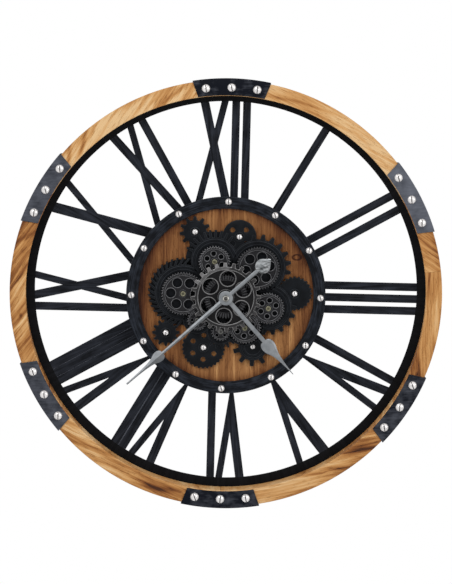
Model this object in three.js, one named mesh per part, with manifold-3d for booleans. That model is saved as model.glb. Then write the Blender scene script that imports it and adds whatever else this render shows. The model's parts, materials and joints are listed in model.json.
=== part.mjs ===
// Round wall clock with a wooden rim, cut steel numerals and a train of turning gears.
// Every piece is built in the dial's own frame: x to the right, y up, z out from the wall.
// The last group turns that frame upright and puts the origin at the hanging hook.

import * as THREE from 'three';
import { mergeVertices } from 'three/addons/utils/BufferGeometryUtils.js';
import Module from 'manifold-3d';

const wasm = await Module();
wasm.setup();

// Driving dimensions, in millimetres and degrees. Bearings run clockwise from twelve o'clock.

const GAP = 0.3;

// How finely round forms are faceted: straight sides of a full circle, and steps of an arc or curve.
const SIDES = { pin: 8, shaft: 12, hub: 14, disc: 12, ear: 16, recess: 24, foot: 24, band: 24, dial: 36 };
const STAVE_STEPS = 9;
const STRAP_STEPS = 5;
const ARC_STEPS = 2;
const HAND_CURVE_STEPS = 4;
const ROOT_CIRCLE_STEP = 24;

const RIM_RADIUS = 300;
const RIM_INNER_RADIUS = 277;
const RIM_FRONT = 35;
const RIM_DRAFT = 10;
const STRAP_BEARINGS = [1.6, 62.8, 123.5, 181.6, 240.7, 300.3];
const STRAP_SHEET = 1.6;
const STRAP_INSET = 1;
const STRAP_OUTER_HALF_ANGLE = 10.4;
const STRAP_INNER_HALF_ANGLE = 9.5;

const SHEET = 3;
const BACK_RING_RADIUS = 292;
const BACK_RING_INNER_RADIUS = 265.6;
const BACK_RING_SIDES = 48;

const NUMERAL_FOOT_RADIUS = 130;
const NUMERAL_FOOT_INNER_RADIUS = 112;
const BAR_WIDTH = 10.9;
const V_APEX_RADIUS = 125;
const LETTER_TOP_RADIUS = 258;
const LETTER_BASE_RADIUS = 148;
const NARROW_LETTER = { vWidth: 38, xSpread: 26, thick: 12, thin: 9.5 };
const WIDE_LETTER = { vWidth: 48, xSpread: 35.5, thick: 15, thin: 9.5 };
const NUMERALS = [
  { text: 'I', bearing: 31.4, middles: [1.5] },
  { text: 'II', bearing: 61.4, middles: [-5.9, 15.7] },
  { text: 'III', bearing: 91.4, middles: [-9.6, 7, 23.8] },
  { text: 'IV', bearing: 119.3, middles: [-1, 29] },
  { text: 'V', bearing: 152.4, middles: [1.8] },
  { text: 'VI', bearing: 181.4, middles: [-11.5, 15.5] },
  { text: 'VII', bearing: 211.4, middles: [-23, 7.3, 20.2] },
  { text: 'VIII', bearing: 241.4, middles: [-32.5, -1.6, 10.4, 22.5] },
  { text: 'IX', bearing: 271.4, middles: [-28.9, 0.8] },
  { text: 'X', bearing: 303, middles: [-13.3] },
  { text: 'XI', bearing: 331.4, middles: [-20.5, 11.8] },
  { text: 'XII', bearing: 361.4, middles: [-21.5, 8, 23] },
];

const DRUM_RADIUS = 126;
const DRUM_FLANGE_RADIUS = 100;
const DRUM_SHEET = 2;
const DRUM_FRONT = 37;
const DIAL_RADIUS = 135;
const DIAL_FRONT = 45;
const BEZEL_RADIUS = 138;
const BEZEL_INNER_RADIUS = 121.2;
const BEZEL_SHEET = 3;
const BEZEL_CHAMFER = 1;

// The gears of the train. Each stands at a bearing from the wheel that turns it, and the sun is 0.
const MODULE_SIZE = 1.25;
const TOOTH_SHARE = 0.4;
const PRESSURE_ANGLE = 20;
const ADDENDUM = 0.85;
const DEDENDUM = 1.2;
const SUN = 0;
const SUN_TEETH = 48;
const SUN_HUB_RADIUS = 10.7;
const GEAR_BACK = 55;
const GEAR_WIDTH = 5;
const LARGE_HOLES = { count: 6, radius: 6.6, at: 17, sides: 8 };
const SMALL_HOLES = { count: 6, radius: 3.4, at: 11.3, sides: 6 };
const PINION_HOLES = { count: 4, radius: 2.1, at: 7.4, sides: 5 };
const TRAIN = [
  { turnedBy: SUN, bearing: 274, teeth: 47, holes: { ...LARGE_HOLES, bearing: 33 } },
  { turnedBy: SUN, bearing: 342.3, teeth: 34, holes: { ...SMALL_HOLES, bearing: -7 } },
  { turnedBy: SUN, bearing: 48.4, teeth: 47, holes: { ...LARGE_HOLES, bearing: 19 } },
  { turnedBy: 5, bearing: 49.9, teeth: 34, holes: { ...SMALL_HOLES, bearing: 9 } },
  { turnedBy: SUN, bearing: 149.2, teeth: 34, holes: { ...SMALL_HOLES, bearing: 6 } },
  { turnedBy: 5, bearing: 261.7, teeth: 20, holes: { ...PINION_HOLES, bearing: 45 } },
  { turnedBy: 1, bearing: 152.3, teeth: 21, holes: { ...PINION_HOLES, bearing: 6 } },
];
const DRIVEN = 6;
const PIN_RADIUS = 2.6;
const PIN_HEAD_RADIUS = 4.2;
const PIN_HEAD_HEIGHT = 1.4;
const PIN_HEAD_CHAMFER = 0.6;
const PIN_DEPTH = 4;

// The bed of imitation cogs: discs under the gears with teeth on their open sides, and screwed ears.
const BED_EAR_HEIGHT = 4;
const BED_TOOTH_HEIGHT = 5.5;
const BED_DISC_HEIGHT = 7.5;
const BED_DISC_INSET = 1.5;
const BED_EAR_HUB_RADIUS = 7;
const BED_WHEELS = [
  { under: 1, teeth: 38, root: 39.5, tip: 48.5, rootWidth: 3.6, tipWidth: 2.8, lean: 7, reach: [183, 370] },
  { under: 2, teeth: 32, root: 32.5, tip: 42.5, rootWidth: 3.8, tipWidth: 3.2, reach: [295, 405] },
  { under: 3, teeth: 20, root: 38.8, tip: 46, rootWidth: 7.6, tipWidth: 3.6, reach: [-8, 115] },
  { under: 4, teeth: 18, root: 33, tip: 39, rootWidth: 7.6, tipWidth: 4, reach: [90, 190] },
  { under: 6, teeth: 18, root: 20.5, tip: 26.5, rootWidth: 4.8, tipWidth: 2, reach: [135, 220] },
  { center: [37.2, -71.7], teeth: 10, root: 20, tip: 27.7, rootWidth: 6.2, tipWidth: 5.4, reach: [75, 275] },
];
const BED_DISCS = [
  { under: 5, radius: 26 },
  { under: 7, radius: 20 },
  { under: SUN, radius: 40 },
];
const BED_EARS = [
  { center: [-42.6, 89.1], teeth: 11, root: 15.9, tip: 21.4, rootWidth: 5.6, tipWidth: 3.6 },
  { center: [95.2, 2.3], teeth: 24, root: 21.6, tip: 24.4, reach: [-60, 205] },
  { center: [-83.2, -52.3], teeth: 12, root: 14.4, tip: 18.8, rootWidth: 4.8, tipWidth: 3 },
  { center: [-31, -73.2], teeth: 30, root: 27.7, tip: 30.4, reach: [85, 300] },
];
const BED_ROUND_EAR = { center: [18.8, 82], radius: 23.4 };
const BED_EAR_HOLES = { count: 6, radius: 3.6, at: 16.8, bearing: 2, sides: 6 };
const BED_ROUND_EAR_HOLES = { count: 4, radius: 3.7, at: 13.4, bearing: 45, sides: 6 };

const WHEEL_BACK = 62.2;
const WHEEL_WIDTH = 5;
const WHEEL_WEB = 3;
const WHEEL_TEETH = 24;
const WHEEL_TIP_RADIUS = 48.8;
const WHEEL_ROOT_RADIUS = 42.8;
const WHEEL_TOOTH_BEARING = -1;
const WHEEL_TOOTH_ROOT_WIDTH = 5.6;
const WHEEL_TOOTH_TIP_WIDTH = 4.4;
const WHEEL_RIM_INNER_RADIUS = 39;
const WHEEL_HOLES = { count: 6, radius: 10.4, at: 26.4, bearing: 6, sides: 10 };
const WHEEL_HOLE_LIP = 1.2;
const WHEEL_LIP_HEIGHT = 4;

const BUSH_RADIUS = 6.7;
const BUSH_BORE = 5;
const TUBE_RADIUS = 4.6;
const TUBE_BORE = 2.8;
const ARBOR_RADIUS = 2.4;
const SHAFT_STEP = 0.8;
const HOUR_HAND_BACK = 69.6;
const MINUTE_HAND_BACK = 73;
const HAND_SHEET = 1.4;
const HOUR_BEARING = 139.05;
const MINUTE_BEARING = 228.7;
const HAND_HUB_RADIUS = 9.8;
const HAND_TIP_WIDTH = 0.8;
const BULB_SWELL = 1.25;
const BULB_SHOULDER = 0.7;
const DROP_SHOULDER = 30;
const HOUR_HAND = { stem: 7, neck: 6.4, bulb: 90, bulbHalf: 9.6, tip: 142 };
const MINUTE_HAND = { stem: 6.2, neck: 3.8, bulb: 124, bulbHalf: 7.8, tip: 182.5 };
const MINUTE_TAIL = { stem: 5.6, bulb: 68, bulbHalf: 10.4, tip: 83 };
const HAND_NUT_RADIUS = 4.4;
const HAND_NUT_HEIGHT = 3.2;
const HAND_NUT_CHAMFER = 1.2;

const MOVEMENT_SIZE = 56;
const MOVEMENT_DEPTH = 16;
const CELL_RADIUS = 7.25;
const CELL_LENGTH = 50.5;
const CELL_CAP_RADIUS = 2.75;
const CELL_CAP_HEIGHT = 2;
const MOVEMENT_BAY = [0, -19];
const KNOB = { teeth: 14, root: 5.4, tip: 6 };
const KNOB_HEIGHT = 4;
const KNOB_PLACE = [14, 10];
const DRIVE_CASE_SIZE = [60, 56];
const DRIVE_CASE_BACK = 12;
const DRIVE_CASE_MIDDLE_Y = -60;
const DRIVE_BAY_WALL = 4;
const DRIVE_BAY_COVER = 1;
const SWITCH_SIZE = [7, 4, 2];
const SWITCH_PLACE = [10, -44];

const HOOK_HEIGHT = 97;
const HANGER_RADIUS = 110;
const HANGER_INNER_RADIUS = 84;
const HANGER_HALF_ANGLE = 17;
const HANGER_SHEET = 2.4;
const KEYHOLE_RADIUS = 5;
const KEYHOLE_SLOT = 5;
const KEYHOLE_DROP = 8;

// Materials

const finish = (color, roughness, metalness) =>
  new THREE.MeshStandardMaterial({ color, roughness, metalness });

const RIM_WOOD = finish(0xb98548, 0.6, 0);
const DIAL_WOOD = finish(0x8a5430, 0.6, 0);
const BLACK_STEEL = finish(0x1b1d21, 0.5, 0.6);
const STRAP_STEEL = finish(0x35383f, 0.45, 0.7);
const BLACK_PLASTIC = finish(0x191b1e, 0.55, 0);
const PEWTER = finish(0x6d6a68, 0.4, 0.9);
const BRASS = finish(0xa3966c, 0.35, 0.9);
const SILVER = finish(0xa7abae, 0.35, 0.9);
const CELL_WRAP = finish(0x3c5a78, 0.4, 0.1);

// Geometry helpers

const radians = THREE.MathUtils.degToRad;
const degrees = THREE.MathUtils.radToDeg;

// A point at a bearing, clockwise from twelve, and a radius.
function polar(bearing, radius) {
  const turn = radians(bearing);
  return new THREE.Vector2(radius * Math.sin(turn), radius * Math.cos(turn));
}

// The mathematical angle of a bearing, for arcs.
const angleOf = (bearing) => Math.PI / 2 - radians(bearing);

function toSolid(geometry) {
  const bare = new THREE.BufferGeometry();
  bare.setAttribute('position', geometry.getAttribute('position'));
  bare.setIndex(geometry.getIndex());
  const merged = mergeVertices(bare, 1e-4);
  return new wasm.Manifold(new wasm.Mesh({
    numProp: 3,
    vertProperties: new Float32Array(merged.getAttribute('position').array),
    triVerts: new Uint32Array(merged.getIndex().array),
  }));
}

function toGeometry(solid) {
  const mesh = solid.getMesh();
  const geometry = new THREE.BufferGeometry();
  geometry.setAttribute('position', new THREE.BufferAttribute(mesh.vertProperties, 3));
  geometry.setIndex(new THREE.BufferAttribute(mesh.triVerts, 1));
  geometry.computeVertexNormals();
  return geometry;
}

const join = (...geometries) =>
  toGeometry(geometries.map(toSolid).reduce((whole, next) => whole.add(next)));

const cut = (geometry, ...tools) =>
  toGeometry(tools.map(toSolid).reduce((whole, tool) => whole.subtract(tool), toSolid(geometry)));

const common = (first, second) => toGeometry(toSolid(first).intersect(toSolid(second)));

// A flat outline given thickness between two distances from the wall.
function plate(shape, back, front, curveSegments = ARC_STEPS) {
  const options = { depth: front - back, bevelEnabled: false, curveSegments };
  return new THREE.ExtrudeGeometry(shape, options).translate(0, 0, back);
}

// A profile of [radius, distance from the wall] pairs turned about the dial's axis.
function turned(profile, segments) {
  const points = profile.map(([radius, z]) => new THREE.Vector2(radius, z));
  return new THREE.LatheGeometry(points, segments).rotateX(Math.PI / 2);
}

// A round outline with straight sides, counter-clockwise, so that it also serves as a hole.
function circle(radius, sides, [x, y] = [0, 0]) {
  const middle = new THREE.Vector2(x, y);
  const corner = (i) => polar(-(360 / sides) * i, radius).add(middle);
  return new THREE.Shape(Array.from({ length: sides }, (_, i) => corner(i)));
}

// A closed profile of [radius, distance from the wall] pairs, swept between two bearings for each radius.
function swept(profile, reach, steps) {
  const count = profile.length;
  const positions = [];
  const indices = [];
  for (let i = 0; i <= steps; i += 1) {
    profile.forEach(([radius, z]) => {
      const [from, to] = reach(radius);
      positions.push(...polar(from + ((to - from) * i) / steps, radius).toArray(), z);
    });
  }
  for (let i = 0; i < steps; i += 1) {
    profile.forEach((_, j) => {
      const near = i * count + j;
      const next = i * count + ((j + 1) % count);
      indices.push(near, next, near + count, next, next + count, near + count);
    });
  }
  const corners = profile.map(([radius, z]) => new THREE.Vector2(radius, z));
  THREE.ShapeUtils.triangulateShape(corners, []).forEach(([a, b, c]) => {
    const last = steps * count;
    indices.push(c, b, a, last + a, last + b, last + c);
  });
  const geometry = new THREE.BufferGeometry();
  geometry.setAttribute('position', new THREE.Float32BufferAttribute(positions, 3));
  geometry.setIndex(indices);
  geometry.computeVertexNormals();
  return geometry;
}

function ring(outer, inner, sides) {
  const shape = circle(outer, sides);
  shape.holes.push(circle(inner, sides));
  return shape;
}

// Part of a ring between two bearings.
function sector(inner, outer, from, to) {
  const shape = new THREE.Shape();
  shape.absarc(0, 0, outer, angleOf(from), angleOf(to), true);
  shape.absarc(0, 0, inner, angleOf(to), angleOf(from), false);
  shape.closePath();
  return shape;
}

// Round outlines spaced evenly on a circle.
function circlesRound({ count, radius, at, bearing, sides }) {
  const place = (i) => polar(bearing + (360 / count) * i, at).toArray();
  return Array.from({ length: count }, (_, i) => circle(radius, sides, place(i)));
}

// A wheel outline of straight-sided teeth. Widths run along the circle, and lean moves the tips.
// A wheel without widths has pointed teeth, and past its reach it keeps to the root circle.
function toothed({ teeth, root, tip, rootWidth, tipWidth, bearing = 0, lean = 0, reach = [0, 360] }) {
  const step = 360 / teeth;
  const rootHalf = rootWidth ? degrees(rootWidth / 2 / root) : step / 2;
  const tipHalf = tipWidth ? degrees(tipWidth / 2 / tip) : 0;
  const plainStep = Math.max(1, Math.floor(ROOT_CIRCLE_STEP / step));
  const outline = [];
  for (let i = 0; i < teeth; i += 1) {
    const middle = bearing + reach[0] + step * i;
    const isTooth = middle <= bearing + reach[1];
    if (isTooth || i % plainStep === 0) {
      outline.push(polar(middle - rootHalf, root));
    }
    if (isTooth) {
      outline.push(polar(middle + lean - tipHalf, tip));
    }
    if (isTooth && tipWidth) {
      outline.push(polar(middle + lean + tipHalf, tip), polar(middle + rootHalf, root));
    }
  }
  return new THREE.Shape(outline);
}

const clock = new THREE.Group();

function add(name, geometry, material, [x, y] = [0, 0]) {
  const mesh = new THREE.Mesh(geometry, material);
  mesh.name = name;
  mesh.position.set(x, y, 0);
  clock.add(mesh);
}

// Rim: six wooden staves on a flat steel ring, with a strap round each joint

// How far the outer wall of the rim leans in at a distance from the wall.
const rimLean = (z) => (RIM_FRONT - z) * Math.tan(radians(RIM_DRAFT));

function addRim() {
  const back = SHEET + GAP;
  const jointHalf = degrees(GAP / 2 / RIM_INNER_RADIUS);
  const profile = [
    [RIM_INNER_RADIUS, back],
    [RIM_RADIUS - rimLean(back), back],
    [RIM_RADIUS, RIM_FRONT],
    [RIM_INNER_RADIUS, RIM_FRONT],
  ];
  STRAP_BEARINGS.forEach((from, i) => {
    const to = STRAP_BEARINGS[i + 1] ?? STRAP_BEARINGS[0] + 360;
    const stave = swept(profile, () => [from + jointHalf, to - jointHalf], STAVE_STEPS);
    add(`rim_segment_${i + 1}`, stave, RIM_WOOD);
  });
  const backRing = ring(BACK_RING_RADIUS, BACK_RING_INNER_RADIUS, BACK_RING_SIDES);
  add('back_ring', plate(backRing, 0, SHEET), BLACK_STEEL);
}

// A strap lies on the front of the rim and folds back over its outer wall.
function addStraps() {
  const back = SHEET + GAP;
  const seat = RIM_FRONT + GAP;
  const fold = RIM_RADIUS + GAP;
  const inner = RIM_INNER_RADIUS + STRAP_INSET;
  const outer = fold + STRAP_SHEET;
  const profile = [
    [inner, seat],
    [fold, seat],
    [fold - rimLean(back), back],
    [outer - rimLean(back), back],
    [outer, seat],
    [outer, seat + STRAP_SHEET],
    [inner, seat + STRAP_SHEET],
  ];
  const halfAt = (radius) => THREE.MathUtils.mapLinear(
    radius, inner, outer, STRAP_INNER_HALF_ANGLE, STRAP_OUTER_HALF_ANGLE);
  STRAP_BEARINGS.forEach((bearing, i) => {
    const reach = (radius) => [bearing - halfAt(radius), bearing + halfAt(radius)];
    add(`rim_strap_${i + 1}`, swept(profile, reach, STRAP_STEPS), STRAP_STEEL);
  });
}

// Numerals: strokes run outwards from a foot that is clamped under the drum

// A straight stroke, given by its middle at the base and top of the letters.
function stroke(base, top, width) {
  const slope = (top - base) / (LETTER_TOP_RADIUS - LETTER_BASE_RADIUS);
  const middleAt = (radius) => base + slope * (radius - LETTER_BASE_RADIUS);
  const low = NUMERAL_FOOT_INNER_RADIUS;
  const high = BACK_RING_INNER_RADIUS + width;
  return new THREE.Shape([
    new THREE.Vector2(middleAt(low) - width / 2, low),
    new THREE.Vector2(middleAt(low) + width / 2, low),
    new THREE.Vector2(middleAt(high) + width / 2, high),
    new THREE.Vector2(middleAt(high) - width / 2, high),
  ]);
}

// The letter V: an outer triangle on its point, with a notch between the two strokes.
function letterV(middle, { vWidth, thick, thin }) {
  const high = BACK_RING_INNER_RADIUS + thick;
  const rise = high - V_APEX_RADIUS;
  const half = (vWidth / 2) * (rise / (LETTER_TOP_RADIUS - V_APEX_RADIUS));
  const notch = (thick + thin) / (2 * half);
  return new THREE.Shape([
    new THREE.Vector2(middle - thin / 2, NUMERAL_FOOT_INNER_RADIUS),
    new THREE.Vector2(middle + thin / 2, NUMERAL_FOOT_INNER_RADIUS),
    new THREE.Vector2(middle + thin / 4, V_APEX_RADIUS + rise * (thin / 4 / half)),
    new THREE.Vector2(middle + half, high),
    new THREE.Vector2(middle + half - thin, high),
    new THREE.Vector2(middle + half * notch - thin, V_APEX_RADIUS + rise * notch),
    new THREE.Vector2(middle - half + thick, high),
    new THREE.Vector2(middle - half, high),
    new THREE.Vector2(middle - thin / 4, V_APEX_RADIUS + rise * (thin / 4 / half)),
  ]);
}

function letterStrokes(letter, middle, size) {
  if (letter === 'I') {
    return [stroke(middle, middle, BAR_WIDTH)];
  }
  if (letter === 'V') {
    return [letterV(middle, size)];
  }
  const half = size.xSpread / 2;
  return [
    stroke(middle + half, middle - half, size.thick),
    stroke(middle - half, middle + half, size.thin),
  ];
}

function numeralStrokes({ text, middles }) {
  const size = text.length === 1 ? WIDE_LETTER : NARROW_LETTER;
  return [...text].flatMap((letter, i) => letterStrokes(letter, middles[i], size));
}

// The bearings of a numeral's first and last stroke edges at its foot.
function footReach(numeral) {
  const points = numeralStrokes(numeral).flatMap((shape) => shape.getPoints());
  const feet = points.filter((point) => point.y <= NUMERAL_FOOT_INNER_RADIUS);
  const turns = feet.map((point) => degrees(Math.atan2(point.x, NUMERAL_FOOT_RADIUS)));
  return [numeral.bearing + Math.min(...turns), numeral.bearing + Math.max(...turns)];
}

function addNumerals() {
  const reaches = NUMERALS.map(footReach);
  const foot = plate(circle(NUMERAL_FOOT_RADIUS, SIDES.foot), 0, SHEET);
  const jointHalf = degrees(GAP / NUMERAL_FOOT_INNER_RADIUS);
  const split = (i) => {
    const next = (i + 1) % NUMERALS.length;
    const turn = next === 0 ? 360 : 0;
    return (reaches[i][1] + reaches[next][0] + turn) / 2;
  };
  NUMERALS.forEach((numeral, i) => {
    const from = i === 0 ? split(NUMERALS.length - 1) - 360 : split(i - 1);
    const strokes = numeralStrokes(numeral).map((shape) =>
      plate(shape, 0, SHEET).rotateZ(-radians(numeral.bearing)));
    const outer = BACK_RING_INNER_RADIUS * Math.cos(Math.PI / BACK_RING_SIDES) - GAP;
    const share = sector(NUMERAL_FOOT_INNER_RADIUS, outer, from + jointHalf, split(i) - jointHalf);
    const number = String(i + 1).padStart(2, '0');
    const whole = common(join(foot, ...strokes), plate(share, -GAP, SHEET + GAP));
    add(`numeral_${number}`, whole, BLACK_STEEL);
  });
}

// Gear train: every wheel is placed from the wheel that turns it, with its teeth in mesh

const pitchRadius = (teeth) => (teeth * MODULE_SIZE) / 2;

// Places a wheel at a bearing from its driver and turns it so that a gap meets the driver's tooth.
function meshed(driver, bearing, teeth) {
  const away = polar(bearing, pitchRadius(driver.teeth) + pitchRadius(teeth));
  const offset = bearing - driver.tooth;
  return {
    teeth,
    center: [driver.center[0] + away.x, driver.center[1] + away.y],
    tooth: bearing + 180 + offset * (driver.teeth / teeth) + 180 / teeth,
  };
}

function trainWheel(number) {
  if (number === SUN) {
    return { teeth: SUN_TEETH, center: [0, 0], tooth: 0 };
  }
  const { turnedBy, bearing, teeth } = TRAIN[number - 1];
  return meshed(trainWheel(turnedBy), bearing, teeth);
}

const sun = trainWheel(SUN);
const gears = TRAIN.map((_, i) => trainWheel(i + 1));
const driven = trainWheel(DRIVEN);

function gearOutline({ teeth, tooth }) {
  const pitch = pitchRadius(teeth);
  const tip = pitch + ADDENDUM * MODULE_SIZE;
  const root = pitch - DEDENDUM * MODULE_SIZE;
  const width = TOOTH_SHARE * Math.PI * MODULE_SIZE;
  const flank = 2 * Math.tan(radians(PRESSURE_ANGLE));
  const tipWidth = width - flank * (tip - pitch);
  const rootWidth = width + flank * (pitch - root);
  return toothed({ teeth, root, tip, rootWidth, tipWidth, bearing: tooth });
}

function addTrain() {
  const front = GEAR_BACK + GEAR_WIDTH;
  gears.forEach((gear, i) => {
    const shape = gearOutline(gear);
    shape.holes.push(circle(PIN_RADIUS + GAP, SIDES.pin), ...circlesRound(TRAIN[i].holes));
    add(`train_gear_${i + 1}`, plate(shape, GEAR_BACK, front), PEWTER, gear.center);
  });
  const outline = plate(gearOutline(sun), GEAR_BACK, front);
  const hub = plate(circle(SUN_HUB_RADIUS, SIDES.shaft), GEAR_BACK, WHEEL_BACK - GAP);
  const bore = plate(circle(BUSH_RADIUS + GAP, SIDES.shaft), GEAR_BACK - GAP, WHEEL_BACK);
  add('sun_gear', cut(join(outline, hub), bore), PEWTER);
}

// Pins stand in the bed and hold each gear with a round head. The driven gear's pin is a longer shaft.
function addPins() {
  const front = GEAR_BACK + GEAR_WIDTH + GAP;
  const bedFront = DIAL_FRONT + GAP + BED_DISC_HEIGHT;
  gears.forEach((gear, i) => {
    const isDriven = i + 1 === DRIVEN;
    const foot = (isDriven ? DRUM_FRONT : bedFront) - PIN_DEPTH;
    const pin = turned([
      [0, foot],
      [PIN_RADIUS, foot],
      [PIN_RADIUS, front],
      [PIN_HEAD_RADIUS, front],
      [PIN_HEAD_RADIUS - PIN_HEAD_CHAMFER, front + PIN_HEAD_HEIGHT],
      [0, front + PIN_HEAD_HEIGHT],
    ], SIDES.pin);
    add(isDriven ? 'drive_shaft' : `gear_pin_${i + 1}`, pin, BRASS, gear.center);
  });
}

// The center wheel turns with the sun gear: square teeth, a raised rim and six lipped holes.
function addCenterWheel() {
  const front = WHEEL_BACK + WHEEL_WIDTH;
  const rim = toothed({
    teeth: WHEEL_TEETH,
    root: WHEEL_ROOT_RADIUS,
    tip: WHEEL_TIP_RADIUS,
    rootWidth: WHEEL_TOOTH_ROOT_WIDTH,
    tipWidth: WHEEL_TOOTH_TIP_WIDTH,
    bearing: WHEEL_TOOTH_BEARING,
  });
  const lips = circlesRound({ ...WHEEL_HOLES, radius: WHEEL_HOLES.radius + WHEEL_HOLE_LIP });
  const recess = cut(
    plate(circle(WHEEL_RIM_INNER_RADIUS, SIDES.recess), WHEEL_BACK + WHEEL_WEB, front + GAP),
    ...lips.map((lip) => plate(lip, WHEEL_BACK, WHEEL_BACK + WHEEL_LIP_HEIGHT)),
  );
  const through = [circle(BUSH_RADIUS + GAP, SIDES.shaft), ...circlesRound(WHEEL_HOLES)];
  const bores = through.map((hole) => plate(hole, WHEEL_BACK - GAP, front + GAP));
  add('center_wheel', cut(plate(rim, WHEEL_BACK, front), recess, ...bores), PEWTER);
}

// Dial: a drum of a band between two rings, a wooden board, the bezel and the bed of imitation cogs

function addDial() {
  const drumBack = SHEET + GAP;
  const flange = ring(DRUM_RADIUS, DRUM_FLANGE_RADIUS, SIDES.band);
  const band = ring(DRUM_RADIUS, DRUM_RADIUS - DRUM_SHEET, SIDES.band);
  const bandBack = drumBack + DRUM_SHEET + GAP;
  const bandFront = DRUM_FRONT - DRUM_SHEET - GAP;
  add('drum_back_ring', plate(flange, drumBack, drumBack + DRUM_SHEET), BLACK_STEEL);
  add('drum', plate(band, bandBack, bandFront), BLACK_STEEL);
  add('drum_front_ring', plate(flange, DRUM_FRONT - DRUM_SHEET, DRUM_FRONT), BLACK_STEEL);

  const board = circle(DIAL_RADIUS, SIDES.dial);
  board.holes.push(
    circle(BUSH_RADIUS + GAP, SIDES.shaft),
    circle(PIN_RADIUS + GAP, SIDES.pin, driven.center),
  );
  add('dial_board', plate(board, DRUM_FRONT + GAP, DIAL_FRONT), DIAL_WOOD);

  const bezelBack = DIAL_FRONT + GAP;
  const bezelFront = bezelBack + BEZEL_SHEET;
  const bezel = turned([
    [BEZEL_INNER_RADIUS, bezelBack],
    [BEZEL_RADIUS, bezelBack],
    [BEZEL_RADIUS, bezelFront - BEZEL_CHAMFER],
    [BEZEL_RADIUS - BEZEL_CHAMFER, bezelFront],
    [BEZEL_INNER_RADIUS + BEZEL_CHAMFER, bezelFront],
    [BEZEL_INNER_RADIUS, bezelFront - BEZEL_CHAMFER],
    [BEZEL_INNER_RADIUS, bezelBack],
  ], SIDES.dial);
  add('bezel_ring', bezel, BLACK_STEEL);
}

function addGearBed() {
  const back = DIAL_FRONT + GAP;
  const toothFront = back + BED_TOOTH_HEIGHT;
  const discFront = back + BED_DISC_HEIGHT;
  const earFront = back + BED_EAR_HEIGHT;
  const placed = (geometry, { center, under }) => {
    const [x, y] = center ?? trainWheel(under).center;
    return geometry.translate(x, y, 0);
  };

  const wheels = BED_WHEELS.flatMap((wheel) => [
    placed(plate(toothed(wheel), back, toothFront), wheel),
    placed(plate(circle(wheel.root - BED_DISC_INSET, SIDES.hub), toothFront - GAP, discFront), wheel),
  ]);
  const discs = BED_DISCS.map((disc) =>
    placed(plate(circle(disc.radius, SIDES.disc), back, discFront), disc));
  const ears = BED_EARS.map((ear) => placed(plate(toothed(ear), back, earFront), ear));
  const roundEar = placed(plate(circle(BED_ROUND_EAR.radius, SIDES.ear), back, earFront), BED_ROUND_EAR);
  const hubs = [...BED_EARS, BED_ROUND_EAR].map((ear) =>
    placed(plate(circle(BED_EAR_HUB_RADIUS, SIDES.pin), earFront - GAP, toothFront), ear));

  const hole = (shape, place) => placed(plate(shape, back - GAP, earFront + GAP), place);
  const earHoles = circlesRound(BED_EAR_HOLES).map((shape) => hole(shape, BED_EARS.at(-1)));
  const roundHoles = circlesRound(BED_ROUND_EAR_HOLES).map((shape) => hole(shape, BED_ROUND_EAR));
  const bores = gears.map(({ center }, i) => {
    const floor = i + 1 === DRIVEN ? back - GAP : discFront - PIN_DEPTH - GAP;
    return placed(plate(circle(PIN_RADIUS + GAP, SIDES.pin), floor, discFront + GAP), { center });
  });
  const bushBore = plate(circle(BUSH_RADIUS + GAP, SIDES.shaft), back - GAP, discFront + GAP);
  const bed = cut(join(...ears, roundEar), ...earHoles, ...roundHoles);
  const whole = join(bed, ...wheels, ...discs, ...hubs);
  add('gear_bed', cut(whole, ...bores, bushBore), BLACK_PLASTIC);
}

// Hands: flat spades on two concentric shafts, held by a domed nut

// A stem with a leaf: round at the hub's side of the bulb, then a long hollow taper to the tip.
function handShape({ stem, neck, bulb, bulbHalf, tip }) {
  const shape = new THREE.Shape();
  const side = (sign) => {
    const at = (x, y) => [sign * x, y];
    return {
      base: at(stem / 2, 0),
      neck: at(neck / 2, bulb - bulbHalf),
      round: [...at(bulbHalf, bulb - bulbHalf), ...at(BULB_SWELL * bulbHalf, bulb)],
      shoulder: at(BULB_SHOULDER * bulbHalf, bulb + bulbHalf),
      hollow: at(neck / 3, bulb + 2 * bulbHalf),
      tip: at(HAND_TIP_WIDTH / 2, tip),
    };
  };
  const left = side(-1);
  const right = side(1);
  shape.moveTo(...left.base);
  shape.lineTo(...left.neck);
  shape.bezierCurveTo(...left.round, ...left.shoulder);
  shape.quadraticCurveTo(...left.hollow, ...left.tip);
  shape.lineTo(...right.tip);
  shape.quadraticCurveTo(...right.hollow, ...right.shoulder);
  shape.bezierCurveTo(...right.round.slice(2), ...right.round.slice(0, 2), ...right.neck);
  shape.lineTo(...right.base);
  shape.closePath();
  return shape;
}

// The tail's counterweight: a drop with its point outwards.
function tailShape({ stem, bulb, bulbHalf, tip }) {
  const shape = new THREE.Shape();
  const meet = bulb - Math.sqrt(bulbHalf ** 2 - (stem / 2) ** 2);
  const open = Math.asin(stem / 2 / bulbHalf);
  const shoulder = radians(DROP_SHOULDER);
  shape.moveTo(stem / 2, 0);
  shape.lineTo(stem / 2, meet);
  shape.absarc(0, bulb, bulbHalf, -Math.PI / 2 + open, shoulder, false);
  shape.lineTo(0, tip);
  shape.absarc(0, bulb, bulbHalf, Math.PI - shoulder, 1.5 * Math.PI - open, false);
  shape.lineTo(-stem / 2, 0);
  shape.closePath();
  return shape;
}

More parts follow.
